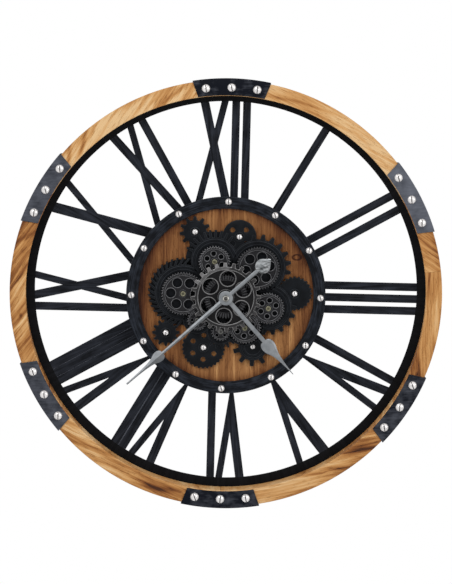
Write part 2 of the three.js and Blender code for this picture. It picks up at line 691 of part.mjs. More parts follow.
function addHands() {
  const sheet = (shape, back, bearing) =>
    plate(shape, back, back + HAND_SHEET, HAND_CURVE_STEPS).rotateZ(-radians(bearing));
  const bore = (radius, back) =>
    plate(circle(radius + GAP, SIDES.shaft), back - GAP, back + HAND_SHEET + GAP);
  const hub = (back) => plate(circle(HAND_HUB_RADIUS, SIDES.hub), back, back + HAND_SHEET);

  const hour = join(sheet(handShape(HOUR_HAND), HOUR_HAND_BACK, HOUR_BEARING), hub(HOUR_HAND_BACK));
  add('hour_hand', cut(hour, bore(TUBE_RADIUS, HOUR_HAND_BACK)), SILVER);

  const tail = sheet(tailShape(MINUTE_TAIL), MINUTE_HAND_BACK, MINUTE_BEARING + 180);
  const leaf = sheet(handShape(MINUTE_HAND), MINUTE_HAND_BACK, MINUTE_BEARING);
  const minute = join(leaf, tail, hub(MINUTE_HAND_BACK));
  add('minute_hand', cut(minute, bore(ARBOR_RADIUS, MINUTE_HAND_BACK)), SILVER);

  const nutBack = MINUTE_HAND_BACK + HAND_SHEET + GAP;
  const nutFront = nutBack + HAND_NUT_HEIGHT;
  const nutBore = ARBOR_RADIUS + GAP;
  const nut = turned([
    [nutBore, nutBack],
    [HAND_NUT_RADIUS, nutBack],
    [HAND_NUT_RADIUS, nutFront - HAND_NUT_CHAMFER],
    [HAND_NUT_RADIUS - HAND_NUT_CHAMFER, nutFront],
    [nutBore, nutFront],
    [nutBore, nutBack],
  ], SIDES.shaft);
  add('hand_nut', nut, BRASS);

  const base = DRUM_FRONT + 2 * GAP;
  const shaft = (inner, outer, front) =>
    turned([[inner, base], [outer, base], [outer, front], [inner, front], [inner, base]], SIDES.shaft);
  add('center_bush', shaft(BUSH_BORE, BUSH_RADIUS, WHEEL_BACK + WHEEL_WIDTH + SHAFT_STEP), BRASS);
  add('hour_tube', shaft(TUBE_BORE, TUBE_RADIUS, HOUR_HAND_BACK + HAND_SHEET + SHAFT_STEP), BRASS);
  const arbor = turned([
    [0, base],
    [ARBOR_RADIUS, base],
    [ARBOR_RADIUS, nutFront],
    [ARBOR_RADIUS / 2, nutFront + SHAFT_STEP],
    [0, nutFront + SHAFT_STEP],
  ], SIDES.shaft);
  add('minute_arbor', arbor, SILVER);
}

// Movement and drive: two battery cases on the back of the dial board, open to the rear

function block([width, height], back, front, [x, y]) {
  return new THREE.BoxGeometry(width, height, front - back).translate(x, y, (back + front) / 2);
}

// A cell lies across its case in a bay that opens to the rear.
function cellBay([x, y], middle, rear) {
  const length = CELL_LENGTH + 2 * GAP;
  const radius = CELL_RADIUS + GAP;
  const trough = new THREE.CylinderGeometry(radius, radius, length, SIDES.shaft).rotateZ(Math.PI / 2);
  const mouth = block([length, 2 * radius], rear - GAP, middle, [x, y]);
  return join(trough.translate(x, y, middle), mouth);
}

function cell([x, y], middle) {
  const half = CELL_LENGTH / 2;
  const shoulder = half - CELL_CAP_HEIGHT;
  const profile = [
    new THREE.Vector2(0, -half),
    new THREE.Vector2(CELL_RADIUS, -half),
    new THREE.Vector2(CELL_RADIUS, shoulder),
    new THREE.Vector2(CELL_CAP_RADIUS, shoulder),
    new THREE.Vector2(CELL_CAP_RADIUS, half),
    new THREE.Vector2(0, half),
  ];
  return new THREE.LatheGeometry(profile, SIDES.shaft).rotateZ(Math.PI / 2).translate(x, y, middle);
}

function addMovement() {
  const rear = DRUM_FRONT - MOVEMENT_DEPTH;
  const bayMiddle = DRUM_FRONT - MOVEMENT_DEPTH / 2;
  const box = block([MOVEMENT_SIZE, MOVEMENT_SIZE], rear, DRUM_FRONT, [0, 0]);
  add('movement_case', cut(box, cellBay(MOVEMENT_BAY, bayMiddle, rear)), BLACK_PLASTIC);
  add('movement_cell', cell(MOVEMENT_BAY, bayMiddle), CELL_WRAP);

  const knobFront = rear - GAP;
  const knob = plate(toothed(KNOB), knobFront - KNOB_HEIGHT, knobFront);
  add('setting_knob', knob, BLACK_PLASTIC, KNOB_PLACE);
}

function addDrive() {
  const [width, height] = DRIVE_CASE_SIZE;
  const middle = [driven.center[0], DRIVE_CASE_MIDDLE_Y];
  const bay = [middle[0], DRIVE_CASE_MIDDLE_Y - height / 2 + CELL_RADIUS + DRIVE_BAY_WALL];
  const bayMiddle = DRIVE_CASE_BACK + CELL_RADIUS + DRIVE_BAY_COVER;
  const box = block([width, height], DRIVE_CASE_BACK, DRUM_FRONT, middle);
  const socketBack = DRUM_FRONT - PIN_DEPTH - GAP;
  const socket = plate(circle(PIN_RADIUS + GAP, SIDES.pin, driven.center), socketBack, DRUM_FRONT + GAP);
  add('drive_case', cut(box, cellBay(bay, bayMiddle, DRIVE_CASE_BACK), socket), BLACK_PLASTIC);
  add('drive_cell', cell(bay, bayMiddle), CELL_WRAP);

  const [switchWidth, switchHeight, switchDepth] = SWITCH_SIZE;
  const switchFront = DRIVE_CASE_BACK - GAP;
  const slider = block([switchWidth, switchHeight], switchFront - switchDepth, switchFront, [0, 0]);
  add('drive_switch', slider, BLACK_PLASTIC, SWITCH_PLACE);
}

// Hanger: an arched plate under the drum's rear flange with a keyhole for the wall hook

function addHanger() {
  const arch = sector(HANGER_INNER_RADIUS, HANGER_RADIUS, -HANGER_HALF_ANGLE, HANGER_HALF_ANGLE);
  const slot = new THREE.Shape();
  slot.absarc(0, HOOK_HEIGHT, KEYHOLE_SLOT / 2, 0, Math.PI, false);
  slot.lineTo(-KEYHOLE_SLOT / 2, HOOK_HEIGHT - KEYHOLE_DROP);
  slot.lineTo(KEYHOLE_SLOT / 2, HOOK_HEIGHT - KEYHOLE_DROP);
  slot.closePath();
  const keyhole = circle(KEYHOLE_RADIUS, SIDES.shaft, [0, HOOK_HEIGHT - KEYHOLE_DROP]);
  const back = SHEET - HANGER_SHEET;
  const tools = [slot, keyhole].map((shape) => plate(shape, back - GAP, SHEET + GAP));
  add('hanger_plate', cut(plate(arch, back, SHEET), ...tools), STRAP_STEEL);
}

addRim();
addStraps();
addNumerals();
addDial();
addGearBed();
addTrain();
addPins();
addCenterWheel();
addHands();
addMovement();
addDrive();
addHanger();

// The dial faces -Y, and the wall hook is the origin.
clock.rotation.x = Math.PI / 2;
clock.position.z = -HOOK_HEIGHT;

export default clock;
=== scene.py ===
# %% [markdown]
# # A gear wall clock
#
# The clock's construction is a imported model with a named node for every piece. This lesson loads
# that model as a fixed frame and dresses it: wood with grain, black steel, antique pewter gears,
# satin hands and bright screws. Nothing in the frame is moved. A piece made here either replaces a
# node in its place or is added on top of one, and it rides on the body that carries it.

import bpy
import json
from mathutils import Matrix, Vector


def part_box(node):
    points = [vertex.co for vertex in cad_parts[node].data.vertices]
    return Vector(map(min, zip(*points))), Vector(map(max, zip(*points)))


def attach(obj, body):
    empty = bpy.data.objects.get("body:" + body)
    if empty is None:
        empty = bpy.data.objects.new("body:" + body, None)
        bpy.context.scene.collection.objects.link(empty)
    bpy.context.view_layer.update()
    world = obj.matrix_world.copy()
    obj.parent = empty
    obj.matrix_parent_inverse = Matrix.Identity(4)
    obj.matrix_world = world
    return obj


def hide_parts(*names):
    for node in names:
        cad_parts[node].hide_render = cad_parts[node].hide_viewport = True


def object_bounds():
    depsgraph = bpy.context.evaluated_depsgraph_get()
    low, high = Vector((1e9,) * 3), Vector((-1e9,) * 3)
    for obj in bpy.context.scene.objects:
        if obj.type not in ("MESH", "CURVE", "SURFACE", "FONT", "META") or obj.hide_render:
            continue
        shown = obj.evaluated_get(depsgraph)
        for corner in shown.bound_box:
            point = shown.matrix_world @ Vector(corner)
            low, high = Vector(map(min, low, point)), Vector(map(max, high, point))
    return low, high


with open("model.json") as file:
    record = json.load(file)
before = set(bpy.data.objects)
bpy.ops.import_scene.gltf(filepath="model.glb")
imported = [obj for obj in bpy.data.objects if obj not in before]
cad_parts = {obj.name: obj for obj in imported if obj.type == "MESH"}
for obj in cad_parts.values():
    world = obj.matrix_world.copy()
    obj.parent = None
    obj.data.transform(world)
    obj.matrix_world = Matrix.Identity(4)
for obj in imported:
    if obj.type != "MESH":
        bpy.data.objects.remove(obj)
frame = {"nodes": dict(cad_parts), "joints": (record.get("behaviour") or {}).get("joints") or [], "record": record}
cad_low, cad_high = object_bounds()

# %% [markdown]
# ## The dial's own frame
#
# A clockmaker measures from the middle of the dial, in millimetres and in bearings that run
# clockwise from twelve. Every mesh here is made that way: x to the right, y up and z out from the
# wall. One matrix then carries a finished mesh into the model's frame, which is in metres with the
# dial facing -Y. The dial's axis and the gears' centres are read from the model's joints.

# %% Dial millimetres to model metres
import json
import math

import bmesh
import bpy
from mathutils import Color, Matrix, Vector, geometry, noise

MM = 0.001
JOINT_AT = {joint["name"]: Vector(joint["pos_m"]) for joint in frame["joints"] if "pos_m" in joint}
BODY_OF = {
    node: body
    for body, nodes in frame["record"]["behaviour"]["bodies"].items()
    for node in nodes
}
AXIS = JOINT_AT["minute_spin"]
UPRIGHT = Matrix.Rotation(math.radians(90), 4, "X")
DIAL = Matrix.Translation((AXIS.x, 0, AXIS.z)) @ UPRIGHT @ Matrix.Scale(MM, 4)
TO_DIAL = DIAL.inverted()


def polar(bearing, radius, center=(0, 0)):
    """The dial point at a bearing, clockwise from twelve, and a radius from a center."""
    turn = math.radians(bearing)
    return center[0] + radius * math.sin(turn), center[1] + radius * math.cos(turn)


def joint_center(name):
    """Where a joint's axis meets the dial, in dial millimetres."""
    return (TO_DIAL @ JOINT_AT[name]).xy


print("dial axis at", [round(value, 4) for value in AXIS])

# %% [markdown]
# ## Node trees as arithmetic
#
# Materials and Geometry Nodes are both node trees. Adding each node and link by hand hides the
# formula, so one small class wraps an output socket and lets it be added, multiplied and compared
# like a number. Another adds any node from its type, its settings and the values of its sockets.

# %% Value and Graph
class Value:
    """An output socket of a node tree. Arithmetic on it adds Math nodes."""

    def __init__(self, graph, socket):
        self.graph = graph
        self.socket = socket

    def math(self, operation, *others):
        return self.graph.math(operation, self, *others)

    def __add__(self, other):
        return self.math("ADD", other)

    def __radd__(self, other):
        return self.graph.math("ADD", other, self)

    def __sub__(self, other):
        return self.math("SUBTRACT", other)

    def __rsub__(self, other):
        return self.graph.math("SUBTRACT", other, self)

    def __mul__(self, other):
        return self.math("MULTIPLY", other)

    def __rmul__(self, other):
        return self.graph.math("MULTIPLY", other, self)

    def __truediv__(self, other):
        return self.math("DIVIDE", other)

    def __gt__(self, other):
        return self.math("GREATER_THAN", other)

    def clamped(self):
        """The value held between 0 and 1."""
        return self.math("MAXIMUM", 0.0).math("MINIMUM", 1.0)


class Graph:
    """A node tree that grows by type, settings and socket values."""

    def __init__(self, tree):
        self.tree = tree

    def node(self, kind, settings=None, sockets=None, output=0):
        made = self.tree.nodes.new(kind)
        for name, setting in (settings or {}).items():
            if name == "stops":
                self.set_stops(made.color_ramp, setting)
            else:
                setattr(made, name, setting)
        for key, value in (sockets or {}).items():
            self.feed(made.inputs[key], value)
        return Value(self, made.outputs[output])

    def feed(self, socket, value):
        if isinstance(value, list):
            for one in reversed(value):
                self.tree.links.new(one.socket, socket)
        elif isinstance(value, Value):
            self.tree.links.new(value.socket, socket)
        else:
            socket.default_value = value

    def set_stops(self, ramp, stops):
        while len(ramp.elements) < len(stops):
            ramp.elements.new(1.0)
        for element, (position, color) in zip(ramp.elements, stops):
            element.position = position
            element.color = color

    def math(self, operation, *values):
        return self.node("ShaderNodeMath", {"operation": operation}, dict(enumerate(values)))

    def vector(self, x, y, z):
        return self.node("ShaderNodeCombineXYZ", {}, {"X": x, "Y": y, "Z": z})

    def mix(self, factor, first, second):
        """A colour between two colours."""
        settings = {"data_type": "RGBA"}
        return self.node("ShaderNodeMix", settings, {0: factor, 6: first, 7: second}, output=2)

    def length(self, point):
        """How far a point is from the origin."""
        return self.node("ShaderNodeVectorMath", {"operation": "LENGTH"}, {0: point}, output="Value")

    def noise(self, point, scale, detail=3.0, stretch=(1, 1, 1)):
        """Smooth noise about 0.5, with a size per axis."""
        spread = self.node("ShaderNodeMapping", {}, {"Vector": point, "Scale": stretch})
        return self.node("ShaderNodeTexNoise", {}, {"Vector": spread, "Scale": scale, "Detail": detail})


print("node trees can be written as arithmetic")

# %% [markdown]
# ## Finishes
#
# Each finish is a Principled shader with its colour, roughness and bump worked out by nodes. Colours
# are written as they look on a screen, from 0 to 255, and turned into linear light. Values that are
# the same all over a surface are set on the shader's own sockets.

# %% A finish with its fixed values
def shade(red, green, blue):
    """A screen colour as linear light."""
    linear = Color((red / 255, green / 255, blue / 255)).from_srgb_to_scene_linear()
    return (*linear, 1.0)


class Finish(Graph):
    """A material with one Principled shader."""

    def __init__(self, name, **fixed):
        self.material = bpy.data.materials.new(name)
        self.material.use_nodes = True
        super().__init__(self.material.node_tree)
        self.shader = self.tree.nodes["Principled BSDF"]
        for key, value in fixed.items():
            self.shader.inputs[key.replace("_", " ").title().replace("Ior", "IOR")].default_value = value
        self.place = self.node("ShaderNodeTexCoord", {}, {}, output="Object")

    def set(self, socket, value):
        self.feed(self.shader.inputs[socket], value)

    def attribute(self, name, output="Fac"):
        return self.node("ShaderNodeAttribute", {"attribute_name": name}, {}, output=output)

    def bump(self, height, distance):
        self.set("Normal", self.node("ShaderNodeBump", {}, {"Height": height, "Distance": distance}))

    def round_place(self, around, outward):
        """A point by its turn round the dial's axis and its distance from it."""
        flat = {"Vector": self.place, "Location": (0, 0, -AXIS.z), "Scale": (1, 0, 1)}
        spoke = self.node("ShaderNodeMapping", {}, flat)
        way = self.node("ShaderNodeVectorMath", {"operation": "NORMALIZE"}, {0: spoke})
        turned_way = self.node("ShaderNodeVectorMath", {"operation": "SCALE"}, {0: way, "Scale": around})
        distance = self.vector(0.0, self.length(spoke) * outward, 0.0)
        return self.node("ShaderNodeVectorMath", {"operation": "ADD"}, {0: turned_way, 1: distance})

    def ramp(self, value, stops):
        return self.node("ShaderNodeValToRGB", {"stops": stops}, {"Fac": value})


print("finishes are Principled shaders")

# %% [markdown]
# ## Wood
#
# The rim and the dial are oiled pine. A photograph of wood would tile and would not turn the corner
# of a board, so the grain is worked out in space: noise that is stretched along the grain gives broad
# bands, narrow streaks, fibres and short pores, and a slow drift makes the lines wander. The point
# that it reads has its first axis along the grain. Stains and the strength of the figure are
# attributes of the mesh.
# The stain attribute also carries painted shade: on the rim's outer edge and on the dial towards the bezel.

# %% Wood finish
# How often each kind of mark repeats per millimetre, along the grain and across it.
DRIFT = (0.006, 0.03, 0.03)
BANDS = (0.008, 0.06, 0.06)
STREAKS = (0.014, 0.26, 0.26)
FIBRES = (0.03, 0.9, 0.9)
PORES = (0.09, 1.1, 1.1)
WANDER_MM = 16
PORE_LEVEL = 0.62
PORE_SHARPNESS = 9
FIBRE_DEPTH = 0.6
PORE_DEPTH = 0.16


def wood(finish, tones, grain_point, stain, broad, fine):
    """Oiled wood. Tones run from the darkest streak to the palest band."""
    drift = finish.noise(grain_point, 1.0, 2.0, DRIFT)
    wander = finish.vector(0.0, (drift - 0.5) * WANDER_MM, 0.0)
    point = finish.node("ShaderNodeVectorMath", {"operation": "ADD"}, {0: grain_point, 1: wander})
    bands = finish.noise(point, 1.0, 2.0, BANDS)
    streaks = finish.noise(point, 1.0, 4.0, STREAKS)
    fibres = finish.noise(point, 1.0, 3.0, FIBRES)
    pores = ((finish.noise(point, 1.0, 1.0, PORES) - PORE_LEVEL) * PORE_SHARPNESS).clamped()
    figure = (bands - 0.5) * broad + (streaks - 0.5) * fine
    tone = 0.5 + figure * finish.attribute("figure") + (fibres - 0.5) * FIBRE_DEPTH
    # The stain attribute holds real stains and painted shade, and both darken the tone here.
    stained_and_shaded = tone - pores * PORE_DEPTH - stain
    stops = [(index / (len(tones) - 1), tone_color) for index, tone_color in enumerate(tones)]
    finish.set("Base Color", finish.ramp(stained_and_shaded, stops))
    finish.set("Roughness", 0.62 - fibres * 0.2)
    finish.bump(fibres * 0.6 + streaks - pores, 0.0003)
    return finish.material


print("wood follows a grain in space")

# %% Rim wood and dial wood
RIM_TONES = [
    shade(66, 34, 15),
    shade(130, 78, 36),
    shade(176, 121, 66),
    shade(207, 156, 98),
    shade(226, 188, 138),
]
rim_finish = Finish("rim_wood", specular_ior_level=0.2)
rim_grain = rim_finish.attribute("grain", "Vector")
# The rim's stain attribute also holds painted shade along its outer edge.
rim_stain_and_shade = rim_finish.attribute("stain")
rim_wood = wood(rim_finish, RIM_TONES, rim_grain, rim_stain_and_shade, broad=1.4, fine=1.15)

DIAL_TONES = [
    shade(46, 22, 12),
    shade(88, 51, 28),
    shade(124, 81, 47),
    shade(158, 111, 68),
    shade(190, 143, 94),
]
KNOT_AT = DIAL @ Vector((98.2, 52.6, 0))
KNOT_HALF_WIDTH = 5.8 * MM
KNOT_HALF_HEIGHT = 3.6 * MM
KNOT_LINE = 2.4
KNOT_STAIN = 0.5
dial_finish = Finish("dial_wood", specular_ior_level=0.1)
knot_reach = (1 / KNOT_HALF_WIDTH, 0, 1 / KNOT_HALF_HEIGHT)
knot_shift = tuple(-place * reach for place, reach in zip(KNOT_AT, knot_reach))
knot_point = {"Vector": dial_finish.place, "Location": knot_shift, "Scale": knot_reach}
knot_distance = dial_finish.length(dial_finish.node("ShaderNodeMapping", {}, knot_point))
knot = (1 - (knot_distance - 1).math("ABSOLUTE") * KNOT_LINE).clamped()
dial_grain = dial_finish.attribute("grain", "Vector")
# The dial's stain attribute also holds painted shade towards the bezel; the knot is a real stain.
dial_stain_and_shade = dial_finish.attribute("stain") + knot * KNOT_STAIN
dial_wood = wood(dial_finish, DIAL_TONES, dial_grain, dial_stain_and_shade, broad=1.0, fine=0.55)
print("wood:", rim_wood.name, dial_wood.name)

# %% [markdown]
# ## Black steel, brushed steel and black plastic
#
# The numerals and rings are sheet steel under matte black paint, with faint strokes that run out from
# the middle and the fine skin of spray. The bezel is brushed in circles. Both follow the dial, so their
# noise reads a point made of the turn round the axis and the distance from it: fine in one and slow in
# the other gives lines. The straps are dark bare steel with blotches and scratches. The bed of cogs and
# the cases behind the dial are moulded in black plastic with a soft sheen, the knob and switch in grey.
# Each strap is also painted lighter or darker by its own amount, a painted reflection of the light that its plate
# catches.

# %% Black finishes
LIGHT_STROKE = 5
BRUSHED_GAIN = 9.0
CLOUDED_GAIN = 2.8


def scaled(color, gain):
    """A colour made darker or lighter."""
    return (*[channel * gain for channel in color[:3]], 1.0)


def painted_steel(name, color, spread):
    """Matte paint on steel, with strokes that run out from the middle and the fine skin of spray."""
    finish = Finish(name, specular_ior_level=0.06)
    strokes = finish.noise(finish.round_place(70.0, 20.0), 1.0, 4.0)
    clouds = strokes * 0.7 + finish.noise(finish.place, 60.0, 4.0) * 0.3
    skin = finish.noise(finish.place, 900.0, 2.0)
    dark = scaled(color, 1 - spread)
    light = scaled(color, 1 + LIGHT_STROKE * spread)
    finish.set("Base Color", finish.mix(((clouds - 0.38) * 3.0).clamped(), dark, light))
    finish.set("Roughness", 0.42 + clouds * 0.2)
    finish.bump(skin, 0.00006)
    return finish.material


def brushed_ring(name, color):
    """Dark steel brushed in circles round the dial's axis."""
    finish = Finish(name, specular_ior_level=0.06)
    lines = finish.noise(finish.round_place(4.0, 900.0), 1.0, 3.0)
    patches = finish.noise(finish.round_place(9.0, 110.0), 1.0, 4.0)
    lighter_share = ((lines - 0.42) * 1.6 + (patches - 0.48) * 1.5).clamped()
    finish.set("Base Color", finish.mix(lighter_share, color, scaled(color, BRUSHED_GAIN)))
    finish.set("Roughness", 0.5 - lighter_share * 0.12)
    finish.bump(lines, 0.00008)
    return finish.material


def strap_metal(name):
    """Bare dark steel with blotches and scratches. The tone of each strap is an attribute: painted reflection that
    makes some straps lighter than others.
    """
    finish = Finish(name, specular_ior_level=0.08)
    blotches = finish.noise(finish.place, 70.0, 5.0)
    scratches = finish.noise(finish.place, 420.0, 3.0, (0.16, 1.0, 1.0))
    # Blotches and scratches are wear; the tone attribute adds each strap's painted reflection.
    lighter_share = ((blotches - 0.5) * 0.7 + (scratches - 0.5) * 0.4 + finish.attribute("tone")).clamped()
    finish.set("Base Color", finish.mix(lighter_share, shade(10, 13, 22), shade(122, 126, 137)))
    finish.set("Roughness", 0.5 - lighter_share * 0.14)
    finish.bump(blotches + scratches * 0.4, 0.00025)
    return finish.material


def moulded_plastic(name, color):
    """Moulded plastic: a fine grain, a soft sheen and a painted highlight where the shine attribute is set."""
    finish = Finish(name, specular_ior_level=0.07)
    clouds = finish.noise(finish.place, 60.0, 3.0)
    grain = finish.noise(finish.place, 1500.0, 2.0)
    cloudy = finish.mix(((clouds - 0.35) * 1.8).clamped(), color, scaled(color, CLOUDED_GAIN))
    # Painted highlight: where the shine attribute is set, the colour is mixed towards a light grey.
    finish.set("Base Color", finish.mix(finish.attribute("shine") * clouds, cloudy, shade(128, 132, 140)))
    finish.set("Roughness", 0.38 + grain * 0.22)
    finish.bump(grain, 0.00008)
    return finish.material


black_steel = painted_steel("black_steel", shade(24, 26, 31), spread=0.45)
back_steel = painted_steel("back_steel", shade(10, 10, 12), spread=0.25)
bezel_steel = brushed_ring("bezel_steel", shade(15, 17, 21))
strap_steel = strap_metal("strap_steel")
black_plastic = moulded_plastic("black_plastic", shade(13, 15, 18))
grey_plastic = moulded_plastic("grey_plastic", shade(72, 74, 76))
print("black finishes ready")

# %% [markdown]
# ## Pewter, silver, brass and screw steel
#
# Antique pewter is dark in its recesses and rubbed bright where hands and cloths reach it: the teeth
# and the lips of the holes. The mesh knows which faces those are, so each gear carries an attribute
# called shine, and the shader breaks it up with noise. The hands are satin silver. On the minute hand
# a facet attribute paints light and shade into the colour, lighter on one slope and darker on the
# other, and the drop on the minute hand is hammered, its dents painted lighter where they look up and
# darker where they look down. The screws are polished, with their slots painted dark as painted shade,
# and the pins are brass, some of it gone grey.

# %% Metal finishes
def rubbed_metal(name, dark, bright, roughness, metallic=0.85, tooth_gain=0.0):
    """Metal that is bright where the shine attribute says. A wheel's teeth gain or lose some shine."""
    finish = Finish(name, metallic=metallic, specular_ior_level=0.2)
    clouds = finish.noise(finish.place, 160.0, 4.0)
    grime = finish.noise(finish.place, 620.0, 3.0)
    rubbed = clouds + grime
    on_tooth = ((finish.length(finish.attribute("wheel", "Vector")) - 0.99) * 60).clamped()
    shine = (finish.attribute("shine") * (1 + on_tooth * tooth_gain) * rubbed).clamped()
    finish.set("Base Color", finish.mix(shine, dark, bright))
    finish.set("Roughness", roughness + 0.2 - shine * 0.2)
    finish.bump(grime, 0.00012)
    return finish.material


def satin_metal(name, dark, light, roughness, metallic, relief=0.0, painted_light_gain=0.4):
    """Satin metal with fine brushing. A facet attribute paints light and shade onto it, brightening and darkening
    it, and a relief dents it.
    """
    finish = Finish(name, metallic=metallic)
    clouds = finish.noise(finish.place, 110.0, 3.0)
    brushing = finish.noise(finish.place, 1300.0, 2.0)
    cloudy = finish.mix(((clouds - 0.3) * 2).clamped(), dark, light)
    # Painted light and shade: the facet attribute makes the colour lighter or darker.
    gain = 1 + finish.attribute("facet") * painted_light_gain
    faceted = finish.node("ShaderNodeVectorMath", {"operation": "SCALE"}, {0: cloudy, "Scale": gain})
    finish.set("Base Color", faceted)
    finish.set("Roughness", roughness + (brushing - 0.5) * 0.16)
    cells = {"Vector": finish.place, "Scale": 260.0}
    dents = finish.node("ShaderNodeTexVoronoi", {"feature": "SMOOTH_F1"}, cells)
    finish.bump(brushing * 0.05 + dents * relief, 0.001)
    return finish.material


print("two kinds of metal: rubbed and satin")

# %% Metals of the clock
pewter = rubbed_metal("pewter", shade(16, 16, 18), shade(170, 170, 174), 0.34, tooth_gain=1.0)
wheel_pewter = rubbed_metal("wheel_pewter", shade(15, 15, 16), shade(178, 177, 178), 0.32, tooth_gain=0.9)
silver = satin_metal("silver", shade(110, 114, 118), shade(142, 145, 148), 0.42, metallic=0.4)
BEATEN = {"roughness": 0.24, "metallic": 0.8, "relief": 0.6, "painted_light_gain": 0.65}
hammered_silver = satin_metal("hammered_silver", shade(108, 112, 114), shade(168, 170, 172), **BEATEN)
brass = rubbed_metal("brass", shade(30, 28, 23), shade(142, 139, 116), 0.32)
dull_brass = rubbed_metal("dull_brass", shade(22, 22, 22), shade(116, 116, 114), 0.36)
# The nut's bright tone shows where its painted glint is set.
nut_brass = rubbed_metal("nut_brass", shade(34, 34, 30), shade(220, 219, 212), 0.3)
turned_steel = rubbed_metal("turned_steel", shade(40, 39, 38), shade(164, 162, 158), 0.3)
# Its dark tone is the painted shade in the screws' slots.
screw_steel = rubbed_metal("screw_steel", shade(46, 45, 47), shade(232, 229, 228), 0.24, metallic=0.5)
print("metal finishes ready")

# %% [markdown]
# ## Sweeping, plating and softening
#
# Most of the clock is turned or cut from sheet. Three helpers cover that: a profile swept round the
# dial's axis, a flat outline with holes raised to a plate, and a softening pass that bevels every
# sharp edge, because a real edge always catches a thin line of light. A last helper turns the mesh
# into a piece in the model's frame, on the body of the node that it stands for.

# %% Sweeping, plating and softening
WELD_DISTANCE = 0.001
SHORTEST_EDGE = 0.002
PLATE_FLATNESS = 0.01


def loft(rings, closed):
    """A skin over rings of points. An open loft is capped with its end rings."""
    bm = bmesh.new()
    made = [[bm.verts.new(point) for point in ring] for ring in rings]
    if closed:
        made.append(made[0])
    for one, two in zip(made, made[1:]):
        for index in range(len(one)):
            bm.faces.new((one[index - 1], one[index], two[index], two[index - 1]))
    if not closed:
        bm.faces.new(made[0])
        bm.faces.new(made[-1])
    bmesh.ops.remove_doubles(bm, verts=bm.verts, dist=WELD_DISTANCE)
    bmesh.ops.recalc_face_normals(bm, faces=bm.faces)
    return bm


def rounded(corners, radius, steps=3):
    """A closed profile with each corner turned into a small arc."""
    points = []
    for index, corner in enumerate(corners):
        middle = Vector(corner)
        neighbours = [corners[index - 1], corners[(index + 1) % len(corners)]]
        sides = [Vector(neighbour) - middle for neighbour in neighbours]
        first, last = [middle + side.normalized() * min(radius, side.length / 2) for side in sides]
        for step in range(steps + 1):
            share = step / steps
            points.append(first * (1 - share) ** 2 + middle * 2 * share * (1 - share) + last * share**2)
    return points


def turned(profile, ends=None, step=2.0):
    """A closed profile of (radius, height) swept round the axis, or between two bearings per radius."""
    span = 360 if ends is None else ends(profile[0][0])[1] - ends(profile[0][0])[0]
    count = max(3, round(span / step))
    rings = []
    for index in range(count + (ends is not None)):
        ring = []
        for radius, height in profile:
            start, end = (0, 360) if ends is None else ends(radius)
            ring.append((*polar(start + (end - start) * index / count, radius), height))
        rings.append(ring)
    return loft(rings, ends is None)


def plate(outline, holes, back, front):
    """A flat outline with holes, raised from one height to another."""
    bm = bmesh.new()
    for points in [outline, *holes]:
        made = [bm.verts.new((x, y, back)) for x, y in points]
        for index, vert in enumerate(made):
            bm.edges.new((made[index - 1], vert))
    bmesh.ops.triangle_fill(bm, use_beauty=True, edges=bm.edges)
    bmesh.ops.dissolve_limit(bm, angle_limit=PLATE_FLATNESS, verts=bm.verts, edges=bm.edges)
    raised = bmesh.ops.extrude_face_region(bm, geom=bm.faces[:])["geom"]
    lifted = [item for item in raised if isinstance(item, bmesh.types.BMVert)]
    bmesh.ops.translate(bm, verts=lifted, vec=(0, 0, front - back))
    bmesh.ops.recalc_face_normals(bm, faces=bm.faces)
    return bm


def soften(bm, width, segments=2, angle=35):
    """Bevels every edge sharper than an angle."""
    limit = math.radians(angle)
    sharp = [edge for edge in bm.edges if edge.is_manifold and edge.calc_face_angle() > limit]
    size = {"offset": width, "segments": segments, "profile": 0.5}
    bmesh.ops.bevel(bm, geom=sharp, affect="EDGES", clamp_overlap=True, **size)
    bmesh.ops.dissolve_degenerate(bm, dist=SHORTEST_EDGE, edges=bm.edges)
    return bm


def circle(radius, center=(0, 0), step=8.0):
    """The corners of a fine circle."""
    count = round(360 / step)
    return [polar(360 * index / count, radius, center) for index in range(count)]


print("profiles can be turned, outlines raised and edges softened")

# %% Copies, attributes and pieces
SOLID_FLATNESS = math.radians(1)


def joined(parts):
    """Several meshes as one."""
    whole = bmesh.new()
    for part in parts:
        mesh = bpy.data.meshes.new("part")
        part.to_mesh(mesh)
        part.free()
        whole.from_mesh(mesh)
        bpy.data.meshes.remove(mesh)
    return whole


def solid_copy(node):
    """A merged copy of a model node in dial millimetres, with its flat faces made whole."""
    bm = bmesh.new()
    bm.from_mesh(frame["nodes"][node].data)
    bm.transform(TO_DIAL)
    bmesh.ops.remove_doubles(bm, verts=bm.verts, dist=SHORTEST_EDGE)
    bmesh.ops.dissolve_limit(bm, angle_limit=SOLID_FLATNESS, verts=bm.verts, edges=bm.edges)
    return bm


def write_attribute(mesh, name, kind, domain, values):
    """Adds an attribute to a mesh, from one flat list of numbers."""
    attribute = mesh.attributes.new(name, kind, domain)
    attribute.data.foreach_set("vector" if kind == "FLOAT_VECTOR" else "value", values)


def add_piece(name, bm, material, body, nodes=(), smooth=40, paint=None):
    """Carries a mesh from dial millimetres to the model's frame, as a piece on a body."""
    mesh = bpy.data.meshes.new(name)
    bm.to_mesh(mesh)
    bm.free()
    if paint:
        paint(mesh)
    mesh.transform(DIAL)
    mesh.materials.clear()
    mesh.materials.append(material)
    mesh.shade_smooth()
    mesh.set_sharp_from_angle(angle=math.radians(smooth))
    piece = bpy.data.objects.new(name, mesh)
    bpy.context.scene.collection.objects.link(piece)
    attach(piece, body)
    if nodes:
        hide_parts(*nodes)
    return piece


print("a mesh becomes a piece on a body")

# %% [markdown]
# ## Camera
#
# The clock was photographed from far away and a little above, with a very long lens, so its circles
# stay almost round. The lens follows from the millimetres that one pixel covers at the dial.

